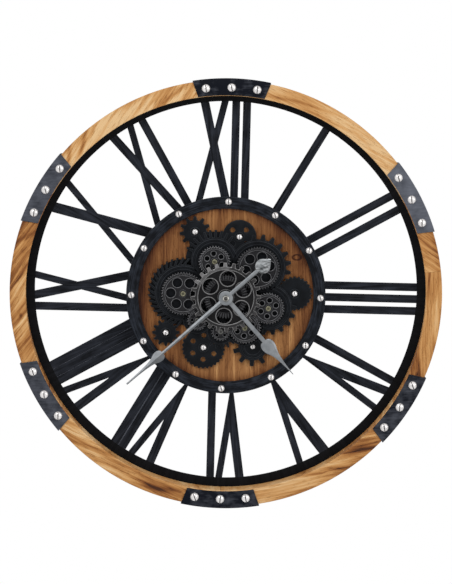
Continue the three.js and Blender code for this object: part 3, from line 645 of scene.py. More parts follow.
# %% Camera at the photograph's angle
PHOTO_HEIGHT = 584
MM_PER_PIXEL = 1.3844
DISTANCE = 20.0
ELEVATION = 9.6
DIAL_PLANE = 35
LOOK_AT = DIAL @ Vector((0.2, 2.3, DIAL_PLANE))

camera_data = bpy.data.cameras.new("camera")
camera_data.lens = camera_data.sensor_width * DISTANCE / (PHOTO_HEIGHT * MM_PER_PIXEL * MM)
camera = bpy.data.objects.new("camera", camera_data)
lift = math.radians(ELEVATION)
backward = Vector((0, -math.cos(lift), math.sin(lift)))
camera.location = LOOK_AT + backward * DISTANCE
camera.rotation_euler = (-backward).to_track_quat("-Z", "Y").to_euler()
bpy.context.scene.collection.objects.link(camera)
bpy.context.scene.camera = camera
print("lens", round(camera_data.lens, 1), "mm")

# %% [markdown]
# ## Light, backdrop and floor
#
# A product like this is lit by large soft lamps in a white room. The world is white to the camera and
# in reflections, and dimmer as a light, so that the lamps can give the pieces a lit side. The clock
# hangs, so the floor lies well below it. The floor is paler to the camera in the same way.

# %% World and lamps
WORLD_LEVEL = 0.5


def direct_rays(graph):
    """1 for rays that show a surface to the camera, in a mirror or through glass, and 0 for light."""
    kinds = ("Is Camera Ray", "Is Glossy Ray", "Is Transmission Ray")
    seen, mirrored, passed = [graph.node("ShaderNodeLightPath", {}, {}, output=kind) for kind in kinds]
    return (seen + mirrored + passed).clamped()


world = bpy.data.worlds.new("white_room")
world.use_nodes = True
room = Graph(world.node_tree)
background = world.node_tree.nodes["Background"]
background.inputs["Color"].default_value = (1, 1, 1, 1)
room.feed(background.inputs["Strength"], WORLD_LEVEL + direct_rays(room) * (1 - WORLD_LEVEL))
bpy.context.scene.world = world


def add_lamp(name, place, size, power):
    """A square soft lamp that looks at the dial."""
    lamp_data = bpy.data.lights.new(name, "AREA")
    lamp_data.size = size
    lamp_data.energy = power
    lamp = bpy.data.objects.new(name, lamp_data)
    lamp.location = LOOK_AT + Vector(place)
    lamp.rotation_euler = (LOOK_AT - lamp.location).to_track_quat("-Z", "Y").to_euler()
    bpy.context.scene.collection.objects.link(lamp)


add_lamp("key_lamp", (-0.8, -2.3, 2.0), size=1.4, power=42)
add_lamp("side_lamp", (1.9, -2.0, 0.5), size=1.2, power=17)
print("a white world and two soft lamps")

# %% Floor
FLOOR_GLOW = 0.34
FLOOR_DROP = 1.1
FLOOR_HALF = 1.8
floor_bm = bmesh.new()
bmesh.ops.create_grid(floor_bm, x_segments=8, y_segments=8, size=FLOOR_HALF)
floor_mesh = bpy.data.meshes.new("floor")
floor_bm.to_mesh(floor_mesh)
floor_bm.free()
floor = bpy.data.objects.new("floor", floor_mesh)
floor_mesh.transform(Matrix.Translation((0, 0, cad_low.z - FLOOR_DROP)))
floor_finish = Finish("pale_floor", roughness=0.8, emission_strength=1.0)
glow = direct_rays(floor_finish) * FLOOR_GLOW
floor_finish.set("Base Color", shade(242, 242, 242))
floor_finish.set("Emission Color", floor_finish.vector(glow, glow, glow))
floor_mesh.materials.append(floor_finish.material)
bpy.context.scene.collection.objects.link(floor)
bpy.context.scene.view_settings.view_transform = "Standard"
print("floor", FLOOR_DROP, "m below the clock")

# %% [markdown]
# ## The wooden rim
#
# The rim is six staves sawn from straight boards and butted under the straps. On each board the grain
# runs its own way, sometimes along the stave and sometimes across it, and one stave is glued up from
# two boards. A stave is a rounded profile swept between two bearings. Its mesh is fine enough to carry
# two attributes: grain, a point in the board's own axes, and stain, which darkens knots and streaks.
# The stain also carries painted shade, which darkens the rim towards its outer edge.

# %% Boards and their stains
STRAP_BEARINGS = [1.6, 62.8, 123.5, 181.6, 240.7, 300.3]
GLUE_LINE = 84.0

# Each board: stave number, first and last bearing, grain angle against the stave's chord, stain and
# strength of its figure.
FIRST, SECOND, THIRD, FOURTH, FIFTH, SIXTH = STRAP_BEARINGS
BOARDS = [
    (1, FIRST, SECOND, 4, -0.42, 0.6),
    (2, SECOND, GLUE_LINE, 38, -0.06, 0.9),
    (2, GLUE_LINE, THIRD, 14, -0.17, 1.0),
    (3, THIRD, FOURTH, -16, -0.16, 0.9),
    (4, FOURTH, FIFTH, 6, -0.22, 1.1),
    (5, FIFTH, SIXTH, -34, 0.04, 1.1),
    (6, SIXTH, FIRST + 360, 28, -0.4, 0.8),
]
# Each streak or knot: bearing, radius, length, width, slant against the rim, depth of its stain.
RIM_STAINS = [
    (17, 288, 90, 40, 0, 0.18),
    (24, 288, 70, 3, 4, 0.26),
    (16, 284, 50, 4, 3, 0.3),
    (50, 288, 70, 40, 0, -0.1),
    (44, 285, 80, 4, -3, 0.16),
    (68, 288, 34, 7, 40, 0.2),
    (76, 286, 40, 6, 35, 0.16),
    (107, 288, 60, 40, 0, 0.13),
    (112, 287, 46, 5, 30, 0.26),
    (117, 291, 36, 4, 32, 0.24),
    (113.2, 288, 6, 3, 20, 0.5),
    (139, 288, 70, 40, 0, 0.42),
    (153, 288, 50, 40, 0, -0.08),
    (165, 288, 70, 40, 0, -0.1),
    (140, 289, 44, 6, -24, 0.3),
    (148, 290, 40, 6, -28, 0.4),
    (153, 285, 30, 4, -20, 0.3),
    (198, 288, 80, 40, 0, 0.32),
    (212, 288, 60, 40, 0, 0.14),
    (194, 285, 50, 6, 4, 0.4),
    (201, 292, 50, 5, 6, 0.34),
    (211, 288, 40, 5, 4, 0.2),
    (224, 288, 60, 40, 0, -0.06),
    (224, 290, 38, 8, 8, 0.1),
    (233, 285, 30, 7, 8, 0.14),
    (262, 290, 34, 5, -38, 0.34),
    (264, 286, 6, 4, 0, 0.4),
    (274, 287, 44, 5, -44, 0.2),
    (284, 288, 80, 40, 0, 0.08),
    (286, 288, 38, 6, -44, 0.24),
    (292, 290, 30, 4, -44, 0.2),
    (331, 288, 70, 40, 0, -0.22),
    (315, 288, 60, 40, 0, 0.18),
    (311, 288, 44, 6, 34, 0.5),
    (317, 289, 40, 5, 34, 0.46),
    (321, 292, 30, 4, 30, 0.3),
    (341, 290, 30, 5, 28, 0.4),
    (346, 289, 44, 6, 28, 0.6),
    (353, 286, 36, 5, 28, 0.4),
]


def stain_at(x, y, stains):
    """How much the stains darken a dial point."""
    total = 0.0
    for bearing, radius, length, width, slant, depth in stains:
        middle = Vector(polar(bearing, radius))
        away = Vector((x, y)) - middle
        along = Vector(polar(bearing + 90 - slant, 1))
        run = away.dot(along)
        side = away.x * along.y - away.y * along.x
        total += depth * math.exp(-((2 * run / length) ** 2) - (2 * side / width) ** 2)
    return total


print(len(BOARDS), "boards with", len(RIM_STAINS), "stains")

# %% Staves
RIM_RADIUS = min(AXIS.x - cad_low.x, cad_high.x - AXIS.x) / MM
RIM_INNER_RADIUS = 277
RIM_BACK = 3.3
RIM_FRONT = 35
RIM_DRAFT = 10
RIM_ROUNDING = 1.2
JOINT_HALF = 0.03
STAVE_STEP = 0.4
FACE_ROWS = 12
LONG_SIDE = 10
BOARD_SPACING = (370.0, 83.0, 41.0)
GRAIN_DEPTH = 0.08
# Painted shade: from this radius out, the rim is painted darker towards its outer edge, where its rounding turns
# away from the light.
EDGE_SHADE = 0.16
EDGE_SHADE_FROM = 292


def paint_board(mesh, board):
    """Writes the grain and stain of one board onto its mesh, with painted shade added to the stain along the outer
    edge.
    """
    number, start, end, slant, base_stain, figure = board
    chord = math.radians(-(start + end) / 2 + slant)
    turn = Matrix.Rotation(-chord, 3, "Z")
    shift = Vector([number * spacing for spacing in BOARD_SPACING]) + Vector((start, 0, 0))
    points = [vert.co.copy() for vert in mesh.vertices]
    grains = [turn @ Vector((*point.xy, point.z * GRAIN_DEPTH)) + shift for point in points]
    flat_grains = [value for grain in grains for value in grain]
    edge_width = RIM_RADIUS - EDGE_SHADE_FROM
    outside = [max(point.xy.length - EDGE_SHADE_FROM, 0) / edge_width for point in points]
    stains = [stain_at(point.x, point.y, RIM_STAINS) for point in points]
    stained_and_shaded = [base_stain + stain + EDGE_SHADE * edge for stain, edge in zip(stains, outside)]
    write_attribute(mesh, "grain", "FLOAT_VECTOR", "POINT", flat_grains)
    write_attribute(mesh, "stain", "FLOAT", "POINT", stained_and_shaded)
    write_attribute(mesh, "figure", "FLOAT", "POINT", [figure] * len(points))


def face_rows(profile):
    """A profile with extra points along its long sides, so that a stain has vertices to lie on."""
    points = []
    for index, point in enumerate(profile):
        after = profile[(index + 1) % len(profile)]
        count = FACE_ROWS if (after - point).length > LONG_SIDE else 1
        points += [point.lerp(after, share / count) for share in range(count)]
    return points


RIM_LEAN = (RIM_FRONT - RIM_BACK) * math.tan(math.radians(RIM_DRAFT))
rim_box = [
    (RIM_INNER_RADIUS, RIM_BACK),
    (RIM_RADIUS - RIM_LEAN, RIM_BACK),
    (RIM_RADIUS, RIM_FRONT),
    (RIM_INNER_RADIUS, RIM_FRONT),
]
stave_profile = face_rows(rounded(rim_box, RIM_ROUNDING))
stave_parts = {}
for board in BOARDS:
    number, start, end = board[:3]
    bm = turned(stave_profile, lambda radius: (start + JOINT_HALF, end - JOINT_HALF), STAVE_STEP)
    mesh = bpy.data.meshes.new("board")
    bm.to_mesh(mesh)
    bm.free()
    paint_board(mesh, board)
    stave_parts.setdefault(number, []).append(mesh)
for number, meshes in stave_parts.items():
    stave = bmesh.new()
    for mesh in meshes:
        stave.from_mesh(mesh)
        bpy.data.meshes.remove(mesh)
    node = f"rim_segment_{number}"
    add_piece(f"stave_{number}", stave, rim_wood, BODY_OF[node], [node])
print(len(BOARDS), "boards in", len(stave_parts), "staves")

# %% [markdown]
# ## The straps
#
# A steel strap laps each joint of the rim: a plate on the front and a lip bent over the outside. It is
# one L-shaped profile swept over about twenty degrees. Its ends are sawn at a slant, so that the plate
# spans more degrees at the outside of the rim than at the inside, and the ends depend on the radius.

# %% Straps
STRAP_SHEET = 1.6
STRAP_OUTER_RADIUS = (cad_high.z - AXIS.z) / MM
STRAP_INNER_RADIUS = 278
STRAP_FRONT = 36.9
STRAP_OUTER_HALF = 10.4
STRAP_INNER_HALF = 9.5
STRAP_BEND = 0.5
STRAP_EDGE = 0.35
STRAP_STEP = 1.0
SAWN_ANGLE = 60
# Painted reflection: how much lighter each strap is painted, for the light its plate catches.
STRAP_PAINTED_REFLECTIONS = [0.0, 0.5, 0.12, 0.06, 0.27, 0.29]

strap_corners = [
    (STRAP_INNER_RADIUS, STRAP_FRONT - STRAP_SHEET),
    (STRAP_OUTER_RADIUS - STRAP_SHEET, STRAP_FRONT - STRAP_SHEET),
    (STRAP_OUTER_RADIUS - STRAP_SHEET - RIM_LEAN, RIM_BACK),
    (STRAP_OUTER_RADIUS - RIM_LEAN, RIM_BACK),
    (STRAP_OUTER_RADIUS, STRAP_FRONT - STRAP_SHEET),
    (STRAP_OUTER_RADIUS, STRAP_FRONT),
    (STRAP_INNER_RADIUS, STRAP_FRONT),
]
strap_profile = rounded(strap_corners, STRAP_BEND, 2)


def strap_ends(bearing):
    """The bearings of a strap's two sawn ends, by radius."""

    def ends(radius):
        share = (radius - STRAP_INNER_RADIUS) / (STRAP_OUTER_RADIUS - STRAP_INNER_RADIUS)
        half = STRAP_INNER_HALF + (STRAP_OUTER_HALF - STRAP_INNER_HALF) * share
        return bearing - half, bearing + half

    return ends


def paint_tone(tone):
    """Writes one tone onto a whole mesh."""

    def paint(mesh):
        write_attribute(mesh, "tone", "FLOAT", "POINT", [tone] * len(mesh.vertices))

    return paint


for number, bearing in enumerate(STRAP_BEARINGS, 1):
    node = f"rim_strap_{number}"
    swept = turned(strap_profile, strap_ends(bearing), STRAP_STEP)
    strap = soften(swept, STRAP_EDGE, 1, SAWN_ANGLE)
    paint = paint_tone(STRAP_PAINTED_REFLECTIONS[number - 1])
    add_piece(f"strap_{number}", strap, strap_steel, BODY_OF[node], [node], paint=paint)
print(len(STRAP_BEARINGS), "straps")

# %% [markdown]
# ## Rings, drum and numerals
#
# The back ring, the bezel and the drum behind the dial are turned rings, so each is a rounded section
# swept all the way round.

# %% Rings
BEZEL_INNER_RADIUS = 121.2
BEZEL_FRONT = 48.3
RING_STEP = 1.5
# Each ring: inner and outer radius, back and front, rounding of its edges and finish.
RINGS = {
    "back_ring": (264.7, 292, 0, 3, 0.5, back_steel),
    "bezel_ring": (BEZEL_INNER_RADIUS, 138, 45.3, BEZEL_FRONT, 0.9, bezel_steel),
    "drum_back_ring": (100, 126, 3.3, 5.3, 0.4, black_steel),
    "drum": (124, 126, 5.6, 34.7, 0.4, black_steel),
    "drum_front_ring": (100, 126, 35, 37, 0.4, black_steel),
}
for node, (inner, outer, back, front, rounding, finish) in RINGS.items():
    corners = [(inner, back), (outer, back), (outer, front), (inner, front)]
    ring = turned(rounded(corners, rounding), step=RING_STEP)
    add_piece(f"{node}_turned", ring, finish, BODY_OF[node], [node])
print(len(RINGS), "rings")

# %% [markdown]
# The numerals are cut from sheet, and the model already has their outlines. Bevelling a copy of the
# solid would tear at the narrow corners, so each outline is walked, raised again and moved in a little
# at the front. The bars are lengthened to meet the back ring, where the real ones are welded. The
# slits between the bars of seven and eight are grooves with a floor of lighter grey steel.

# %% Outlines and cut sheet
FRONT_FACING = 0.9
SHARPEST_CORNER = 0.4
LEVEL_TOLERANCE = 0.01


def outlines(node):
    """The closed outlines of a plate's front face, each with the material on its left."""
    bm = solid_copy(node)
    after = {}
    for face in bm.faces:
        for corner in face.loops:
            if face.normal.z > FRONT_FACING > corner.link_loop_radial_next.face.normal.z:
                after[corner.vert] = corner.link_loop_next.vert
    found = []
    while after:
        start, follower = after.popitem()
        points = [start.co.xy.copy()]
        while follower in after:
            points.append(follower.co.xy.copy())
            follower = after.pop(follower)
        found.append(points)
    bm.free()
    return found


def inset(points, width):
    """A closed outline moved to its left."""
    moved = []
    for index, point in enumerate(points):
        ways = [point - points[index - 1], points[(index + 1) % len(points)] - point]
        left = [Vector((-way.y, way.x)).normalized() for way in ways]
        spread = max(1 + left[0].dot(left[1]), SHARPEST_CORNER)
        moved.append(point + (left[0] + left[1]) * width / spread)
    return moved


def at_height(edge, height):
    """Whether both ends of an edge lie at a height."""
    return all(abs(vert.co.z - height) < LEVEL_TOLERANCE for vert in edge.verts)


def cut_sheet(sheet_outlines, back, front, bevel):
    """Outlines cut from sheet, with a small bevel round the front."""
    bm = bmesh.new()
    for points in sheet_outlines:
        rows = [(points, back), (points, front - bevel), (inset(points, bevel), front)]
        made = [[bm.verts.new((*point, height)) for point in row] for row, height in rows]
        for one, two in zip(made, made[1:]):
            for index in range(len(points)):
                bm.faces.new((one[index - 1], one[index], two[index], two[index - 1]))
    for height in (back, front):
        level = [edge for edge in bm.edges if at_height(edge, height)]
        bmesh.ops.triangle_fill(bm, use_beauty=True, edges=level)
    bmesh.ops.recalc_face_normals(bm, faces=bm.faces)
    return bm


print("sheet can be cut again from a node's outline")

# %% Numerals
SHEET = 3
NUMERAL_EDGE = 0.5
WELD_FROM_RADIUS = 262
WELD_RADIUS = 265.2
GROOVE_WIDTH = 3.2
GROOVE_FRONT = 1.8
GROOVE_TONE = 0.36
BAR_LENGTH = 60
HOURS = 12


def slits(points):
    """The long narrow gaps between two bars, as the four corners of each."""
    found = []
    for index in range(len(points)):
        corners = [points[(index + step) % len(points)] for step in range(4)]
        far, near, near_side, far_side = corners
        narrow = max((near - near_side).length, (far - far_side).length) < GROOVE_WIDTH
        if narrow and (far - near).length > BAR_LENGTH:
            found.append(corners)
    return found


grooves = []
for number in range(1, HOURS + 1):
    node = f"numeral_{number:02}"
    cut = outlines(node)
    for points in cut:
        for point in points:
            if point.length > WELD_FROM_RADIUS:
                point *= WELD_RADIUS / point.length
        grooves += [plate(corners, [], 0, GROOVE_FRONT) for corners in slits(points)]
    sheet = cut_sheet(cut, 0, SHEET, NUMERAL_EDGE)
    add_piece(f"{node}_cut", sheet, black_steel, BODY_OF[node], [node], smooth=30)
groove_tone = paint_tone(GROOVE_TONE)
add_piece("numeral_grooves", joined(grooves), strap_steel, "frame", paint=groove_tone)
print(HOURS, "numerals and", len(grooves), "grooves")

# %% [markdown]
# ## The dial board
#
# The dial is a round board with upright grain. Towards its left edge it is redder and darker, and it has
# one small knot on the right. All round, it is also painted darker towards the bezel, a painted shade
# for the bezel's shadow. A grid of vertices on its face carries those stains and that shade.

# %% Dial board
DIAL_FINENESS = 1.2
DIAL_GRAIN_START = 500
DIAL_EDGE = 0.6
DIAL_GRID = 6
DIAL_REACH = 135
DIAL_STAINS = [
    (285, 120, 150, 60, 12, 0.12),
    (255, 116, 120, 46, -4, 0.12),
    (165, 110, 220, 90, 0, -0.16),
    (20, 100, 160, 70, 0, -0.06),
    (52, 118, 130, 44, 0, 0.16),
]
# Painted shade: from this radius out to the bezel the face is painted darker, for the bezel's shadow.
SHADED_FROM = 108
SHADED_EDGE = 0.26


def paint_dial(mesh):
    """Upright grain, the stains of the board and a painted shade that darkens it towards the bezel."""
    points = [vert.co.copy() for vert in mesh.vertices]
    grains = []
    for point in points:
        grains += (point.y + DIAL_GRAIN_START, point.x * DIAL_FINENESS, point.z * DIAL_FINENESS)
    write_attribute(mesh, "grain", "FLOAT_VECTOR", "POINT", grains)
    rims = [max(point.xy.length - SHADED_FROM, 0) / (BEZEL_INNER_RADIUS - SHADED_FROM) for point in points]
    stains = [stain_at(point.x, point.y, DIAL_STAINS) for point in points]
    stained_and_shaded = [stain + SHADED_EDGE * min(rim, 1) ** 2 for stain, rim in zip(stains, rims)]
    write_attribute(mesh, "stain", "FLOAT", "POINT", stained_and_shaded)
    write_attribute(mesh, "figure", "FLOAT", "POINT", [1.0] * len(points))


def sliced(bm, step, reach):
    """Cuts a mesh by a square grid of upright planes."""
    count = math.ceil(reach / step)
    for axis in ((1, 0, 0), (0, 1, 0)):
        for index in range(-count, count + 1):
            everything = bm.verts[:] + bm.edges[:] + bm.faces[:]
            bmesh.ops.bisect_plane(bm, geom=everything, plane_co=Vector(axis) * index * step, plane_no=axis)
    bmesh.ops.dissolve_degenerate(bm, dist=SHORTEST_EDGE, edges=bm.edges)
    return bm


dial_board = sliced(soften(solid_copy("dial_board"), DIAL_EDGE), DIAL_GRID, DIAL_REACH)
add_piece("dial_board_grained", dial_board, dial_wood, "frame", ["dial_board"], paint=paint_dial)
print("dial board on a grid of", DIAL_GRID, "mm")

# %% [markdown]
# ## The bed of cogs
#
# Under the gears lies one black moulding that imitates larger cogs. Each is a toothed plate with a
# raised disc on it, and rings are turned into the disc. Small toothed ears carry the screws that hold
# the bed to the dial. The teeth follow one rule, so a function works out the outline.

# %% Toothed outlines
def toothed(teeth, root, tip, root_width=0.0, tip_width=0.0, lean=0.0, reach=(0, 360), center=(0, 0)):
    """A wheel's outline with teeth between two bearings. Teeth without a width come to a point."""
    step = 360 / teeth
    root_half = math.degrees(root_width / 2 / root) if root_width else step / 2
    tip_half = math.degrees(tip_width / 2 / tip)
    points = []
    for index in range(teeth):
        middle = reach[0] + step * index
        if middle > reach[1]:
            points += [polar(middle + step * share, root, center) for share in (-0.25, 0.25)]
            continue
        points.append(polar(middle - root_half, root, center))
        points.append(polar(middle + lean - tip_half, tip, center))
        if tip_width:
            points.append(polar(middle + lean + tip_half, tip, center))
            points.append(polar(middle + root_half, root, center))
    return points


def ring_of(count, at, bearing, center):
    """Points spaced evenly on a circle."""
    return [polar(bearing + 360 * index / count, at, center) for index in range(count)]


print("a tooth rule for the bed")

# %% Cogs and ears of the bed
GEARS = 7
SUN = 0
PLAIN_COG = 8
CENTERS = {number: joint_center(f"gear_{number}_spin") for number in range(1, GEARS + 1)}
CENTERS[SUN] = joint_center("train_spin")
CENTERS[PLAIN_COG] = Vector((37.2, -71.7))

# Each wheel: the gear above it, its teeth, root and tip radius, tooth widths, lean and reach.
BED_WHEELS = [
    (1, 38, 39.5, 48.5, 3.6, 2.8, 7, (183, 370)),
    (2, 32, 32.5, 42.5, 3.8, 3.2, 0, (295, 405)),
    (3, 20, 38.8, 46, 7.6, 3.6, 0, (-8, 115)),
    (4, 18, 33, 39, 7.6, 4, 0, (90, 190)),
    (6, 18, 20.5, 26.5, 4.8, 2, 0, (135, 220)),
    (PLAIN_COG, 10, 20, 27.7, 6.2, 5.4, 0, (75, 275)),
]
BED_DISCS = {5: 26, 7: 20, SUN: 40}
BACKED_WHEELS = (1, 2)

# The holes of a pierced ear: number, radius, distance from its screw and bearing of the first.
TOOTHED_EAR_HOLES = (6, 3.6, 16.8, 2)
ROUND_EAR_HOLES = (4, 3.7, 13.4, 45)
# Each ear: its screw, teeth, root and tip radius, tooth widths, reach and holes.
BED_EARS = [
    ((-42.6, 89.1), 11, 15.9, 21.4, 5.6, 3.6, (0, 360), None),
    ((95.2, 2.3), 24, 21.6, 24.4, 0, 0, (-60, 205), None),
    ((-83.2, -52.3), 12, 14.4, 18.8, 4.8, 3, (0, 360), None),
    ((-31, -73.2), 30, 27.7, 30.4, 0, 0, (85, 300), TOOTHED_EAR_HOLES),
]
ROUND_EAR = (18.8, 82)
ROUND_EAR_RADIUS = 23.4
print(len(BED_WHEELS), "cogs,", len(BED_DISCS), "discs and", len(BED_EARS) + 1, "ears")

# %% Parts of the bed
BED_BACK = 45.3
BED_EAR_FRONT = 49.3
BED_TOOTH_FRONT = 50.8
BED_DISC_FRONT = 52.8
BED_EDGE = 0.5
DISC_GROOVE = 0.9
# Where the face of a disc turns, in from its edge: up to a raised ring or down into a groove.
GROOVE_TURNS = (0, 3.2, 4.6, 7.6)
RING_TURNS = (0.8, 2.6, 5.2, 6.8)
DISC_STEP = 4.0
EAR_BORE = 1.5
EAR_HUB_RADIUS = 7
EAR_HUB_WALL = 1.6
EAR_HUB_STEP = 10.0
# Painted highlight on the sloped edges of the bed.
BED_EDGE_HIGHLIGHT = 0.2
UPWARD = 0.15
LEVEL = 0.97


def raised_disc(center, radius, bore):
    """A disc with two turned rings and a rounded edge."""
    low = BED_DISC_FRONT - DISC_GROOVE
    turns = [(turn, low) for turn in GROOVE_TURNS] + [(turn, BED_DISC_FRONT) for turn in RING_TURNS]
    profile = [(bore, BED_BACK), (radius, BED_BACK)]
    profile += [(radius - turn, height) for turn, height in sorted(turns)]
    disc = turned(profile + [(bore, low)], step=DISC_STEP)
    bmesh.ops.translate(disc, verts=disc.verts, vec=(*center, 0))
    return disc


def ear_hub(center):
    """The raised ring that a bed screw sits in."""
    outer = EAR_HUB_RADIUS
    inner = outer - EAR_HUB_WALL
    profile = [
        (EAR_BORE, BED_BACK),
        (outer, BED_BACK),
        (outer, BED_TOOTH_FRONT - BED_EDGE),
        (outer - BED_EDGE, BED_TOOTH_FRONT),
        (inner, BED_TOOTH_FRONT),
        (inner - BED_EDGE, BED_EAR_FRONT),
        (EAR_BORE, BED_EAR_FRONT),
    ]
    hub = turned(profile, step=EAR_HUB_STEP)
    bmesh.ops.translate(hub, verts=hub.verts, vec=(*center, 0))
    return hub


def ear_holes(holes, center):
    """The round holes of a pierced ear."""
    if not holes:
        return []
    count, radius, distance, bearing = holes
    return [circle(radius, spot, 15.0) for spot in ring_of(count, distance, bearing, center)]


def paint_bed(mesh):
    """Painted highlight: the sloped edges of the moulding are painted a little lighter."""
    shine = [BED_EDGE_HIGHLIGHT if UPWARD < face.normal.z < LEVEL else 0.0 for face in mesh.polygons]
    write_attribute(mesh, "shine", "FLOAT", "FACE", shine)


print("discs, hubs and holes for the bed")

# %% The bed
PIN_HOLE = 2.9
BUSH_HOLE = 7.0
DISC_INSET = 1.5
BACKING_INSET = 2.5
BACKING_FRONT = 46.8

bed_parts = []
for number, teeth, root, tip, root_width, tip_width, lean, reach in BED_WHEELS:
    center = CENTERS[number]
    bore = 0.0 if number == PLAIN_COG else PIN_HOLE
    outline = toothed(teeth, root, tip, root_width, tip_width, lean, reach, center)
    holes = [circle(bore, center, 20.0)] if bore else []
    bed_parts.append(soften(plate(outline, holes, BED_BACK, BED_TOOTH_FRONT), BED_EDGE))
    bed_parts.append(raised_disc(center, root - DISC_INSET, bore))
    if number in BACKED_WHEELS:
        bed_parts.append(plate(circle(tip - BACKING_INSET, center, 5.0), [], BED_BACK, BACKING_FRONT))
for number, radius in BED_DISCS.items():
    bed_parts.append(raised_disc(CENTERS[number], radius, BUSH_HOLE if number == SUN else PIN_HOLE))
ear_outlines = []
for center, teeth, root, tip, root_width, tip_width, reach, holes in BED_EARS:
    outline = toothed(teeth, root, tip, root_width, tip_width, 0, reach, center)
    ear_outlines.append((center, outline, holes))
ear_outlines.append((ROUND_EAR, circle(ROUND_EAR_RADIUS, ROUND_EAR, 5.0), ROUND_EAR_HOLES))
for center, outline, holes in ear_outlines:
    ear = plate(outline, ear_holes(holes, center), BED_BACK, BED_EAR_FRONT)
    bed_parts.append(soften(ear, BED_EDGE))
    bed_parts.append(ear_hub(center))
bed = joined(bed_parts)
add_piece("cog_bed", bed, black_plastic, "frame", ["gear_bed"], paint=paint_bed)
print(len(bed_parts), "parts in the bed of cogs")

# %% [markdown]
# ## The gears
#
# Every gear follows one rule: teeth round a rim, a thinner web with round holes, raised lips round the
# holes and a hub. So one Geometry Nodes tree makes them all from named sizes. The outline is a circle
# with four points a tooth, and the point's index says which corner it is. Curves are filled and raised
# to slabs, and the lips are rings on the points of a circle. The result is made a plain mesh, and its
# edges are softened.

# %% A tree for toothed wheels
WHEEL_INPUTS = {
    "Teeth": "NodeSocketInt",
    "Root Radius": "NodeSocketFloat",
    "Tip Radius": "NodeSocketFloat",
    "Root Share": "NodeSocketFloat",
    "Tip Share": "NodeSocketFloat",
    "Tooth Bearing": "NodeSocketFloat",
    "Rim Inner Radius": "NodeSocketFloat",
    "Holes": "NodeSocketInt",
    "Hole Radius": "NodeSocketFloat",
    "Hole Distance": "NodeSocketFloat",
    "Hole Bearing": "NodeSocketFloat",
    "Lip": "NodeSocketFloat",
    "Hub Radius": "NodeSocketFloat",
    "Bore Radius": "NodeSocketFloat",
    "Back": "NodeSocketFloat",
    "Web Front": "NodeSocketFloat",
    "Front": "NodeSocketFloat",
    "Material": "NodeSocketMaterial",
}
QUARTER_TURN = math.pi / 2
TOOTH_CORNERS = 4


def new_tree(name, inputs, with_geometry=False):
    """An empty Geometry Nodes tree with named inputs, and its input values by name."""
    tree = bpy.data.node_groups.new(name, "GeometryNodeTree")
    tree.interface.new_socket("Geometry", in_out="OUTPUT", socket_type="NodeSocketGeometry")
    if with_geometry:
        tree.interface.new_socket("Geometry", in_out="INPUT", socket_type="NodeSocketGeometry")
    for label, kind in inputs.items():
        tree.interface.new_socket(label, in_out="INPUT", socket_type=kind)
    graph = Graph(tree)
    entry = tree.nodes.new("NodeGroupInput")
    return graph, {socket.name: Value(graph, socket) for socket in entry.outputs if socket.name}


def close_tree(graph, parts, material):
    """Ends a tree: its parts joined, made real and given their material."""
    whole = graph.node("GeometryNodeJoinGeometry", {}, {"Geometry": parts})
    real = graph.node("GeometryNodeRealizeInstances", {}, {"Geometry": whole})
    dressed = graph.node("GeometryNodeSetMaterial", {}, {"Geometry": real, "Material": material})
    graph.feed(graph.tree.nodes.new("NodeGroupOutput").inputs[0], dressed)
    return graph.tree


def moved(graph, shape, height):
    """A shape moved up to a height."""
    rise = graph.vector(0.0, 0.0, height)
    return graph.node("GeometryNodeTransform", {}, {"Geometry": shape, "Translation": rise})


def slab(graph, curves, back, front):
    """Closed curves filled and raised into a solid plate."""
    drawn = graph.node("GeometryNodeJoinGeometry", {}, {"Geometry": curves})
    face = graph.node("GeometryNodeFillCurve", {"mode": "NGONS"}, {"Curve": drawn})
    rise = {"Mesh": face, "Offset": graph.vector(0.0, 0.0, front - back), "Individual": False}
    sides = graph.node("GeometryNodeExtrudeMesh", {"mode": "FACES"}, rise)
    underside = graph.node("GeometryNodeFlipFaces", {}, {"Mesh": face})
    both = graph.node("GeometryNodeJoinGeometry", {}, {"Geometry": [sides, underside]})
    closed = graph.node("GeometryNodeMergeByDistance", {}, {"Geometry": both, "Distance": WELD_DISTANCE})
    return moved(graph, closed, back)


def curve_circle(graph, radius, points):
    """A round curve of so many points."""
    return graph.node("GeometryNodeCurvePrimitiveCircle", {}, {"Resolution": points, "Radius": radius})


def tooth_curve(graph, size):
    """A circle with four points a tooth, moved to the tooth's corners by their index."""
    ring = curve_circle(graph, 1.0, size["Teeth"] * TOOTH_CORNERS)
    index = graph.node("GeometryNodeInputIndex")
    tooth = (index / TOOTH_CORNERS).math("FLOOR")
    corner = index - tooth * TOOTH_CORNERS
    side = (corner > 1.5) * 2 - 1
    is_tip = 1 - ((corner - 1.5).math("ABSOLUTE") > 1.0)
    half = (size["Root Share"] + (size["Tip Share"] - size["Root Share"]) * is_tip) / 2
    turn = (tooth + side * half) / size["Teeth"] * math.tau
    angle = QUARTER_TURN - size["Tooth Bearing"].math("RADIANS") + turn
    radius = size["Root Radius"] + (size["Tip Radius"] - size["Root Radius"]) * is_tip
    place = graph.vector(radius * angle.math("COSINE"), radius * angle.math("SINE"), 0.0)
    return graph.node("GeometryNodeSetPosition", {}, {"Geometry": ring, "Position": place})


print("trees can hold slabs, circles and teeth")

# %% The wheel tree
BORE_POINTS = 24
RIM_POINTS = 72
HOLE_POINTS = 28
LIP_POINTS = 8
LIP_SPREAD = 0.9
WEB_OVERLAP = 0.2
HUB_OVERLAP = 0.5


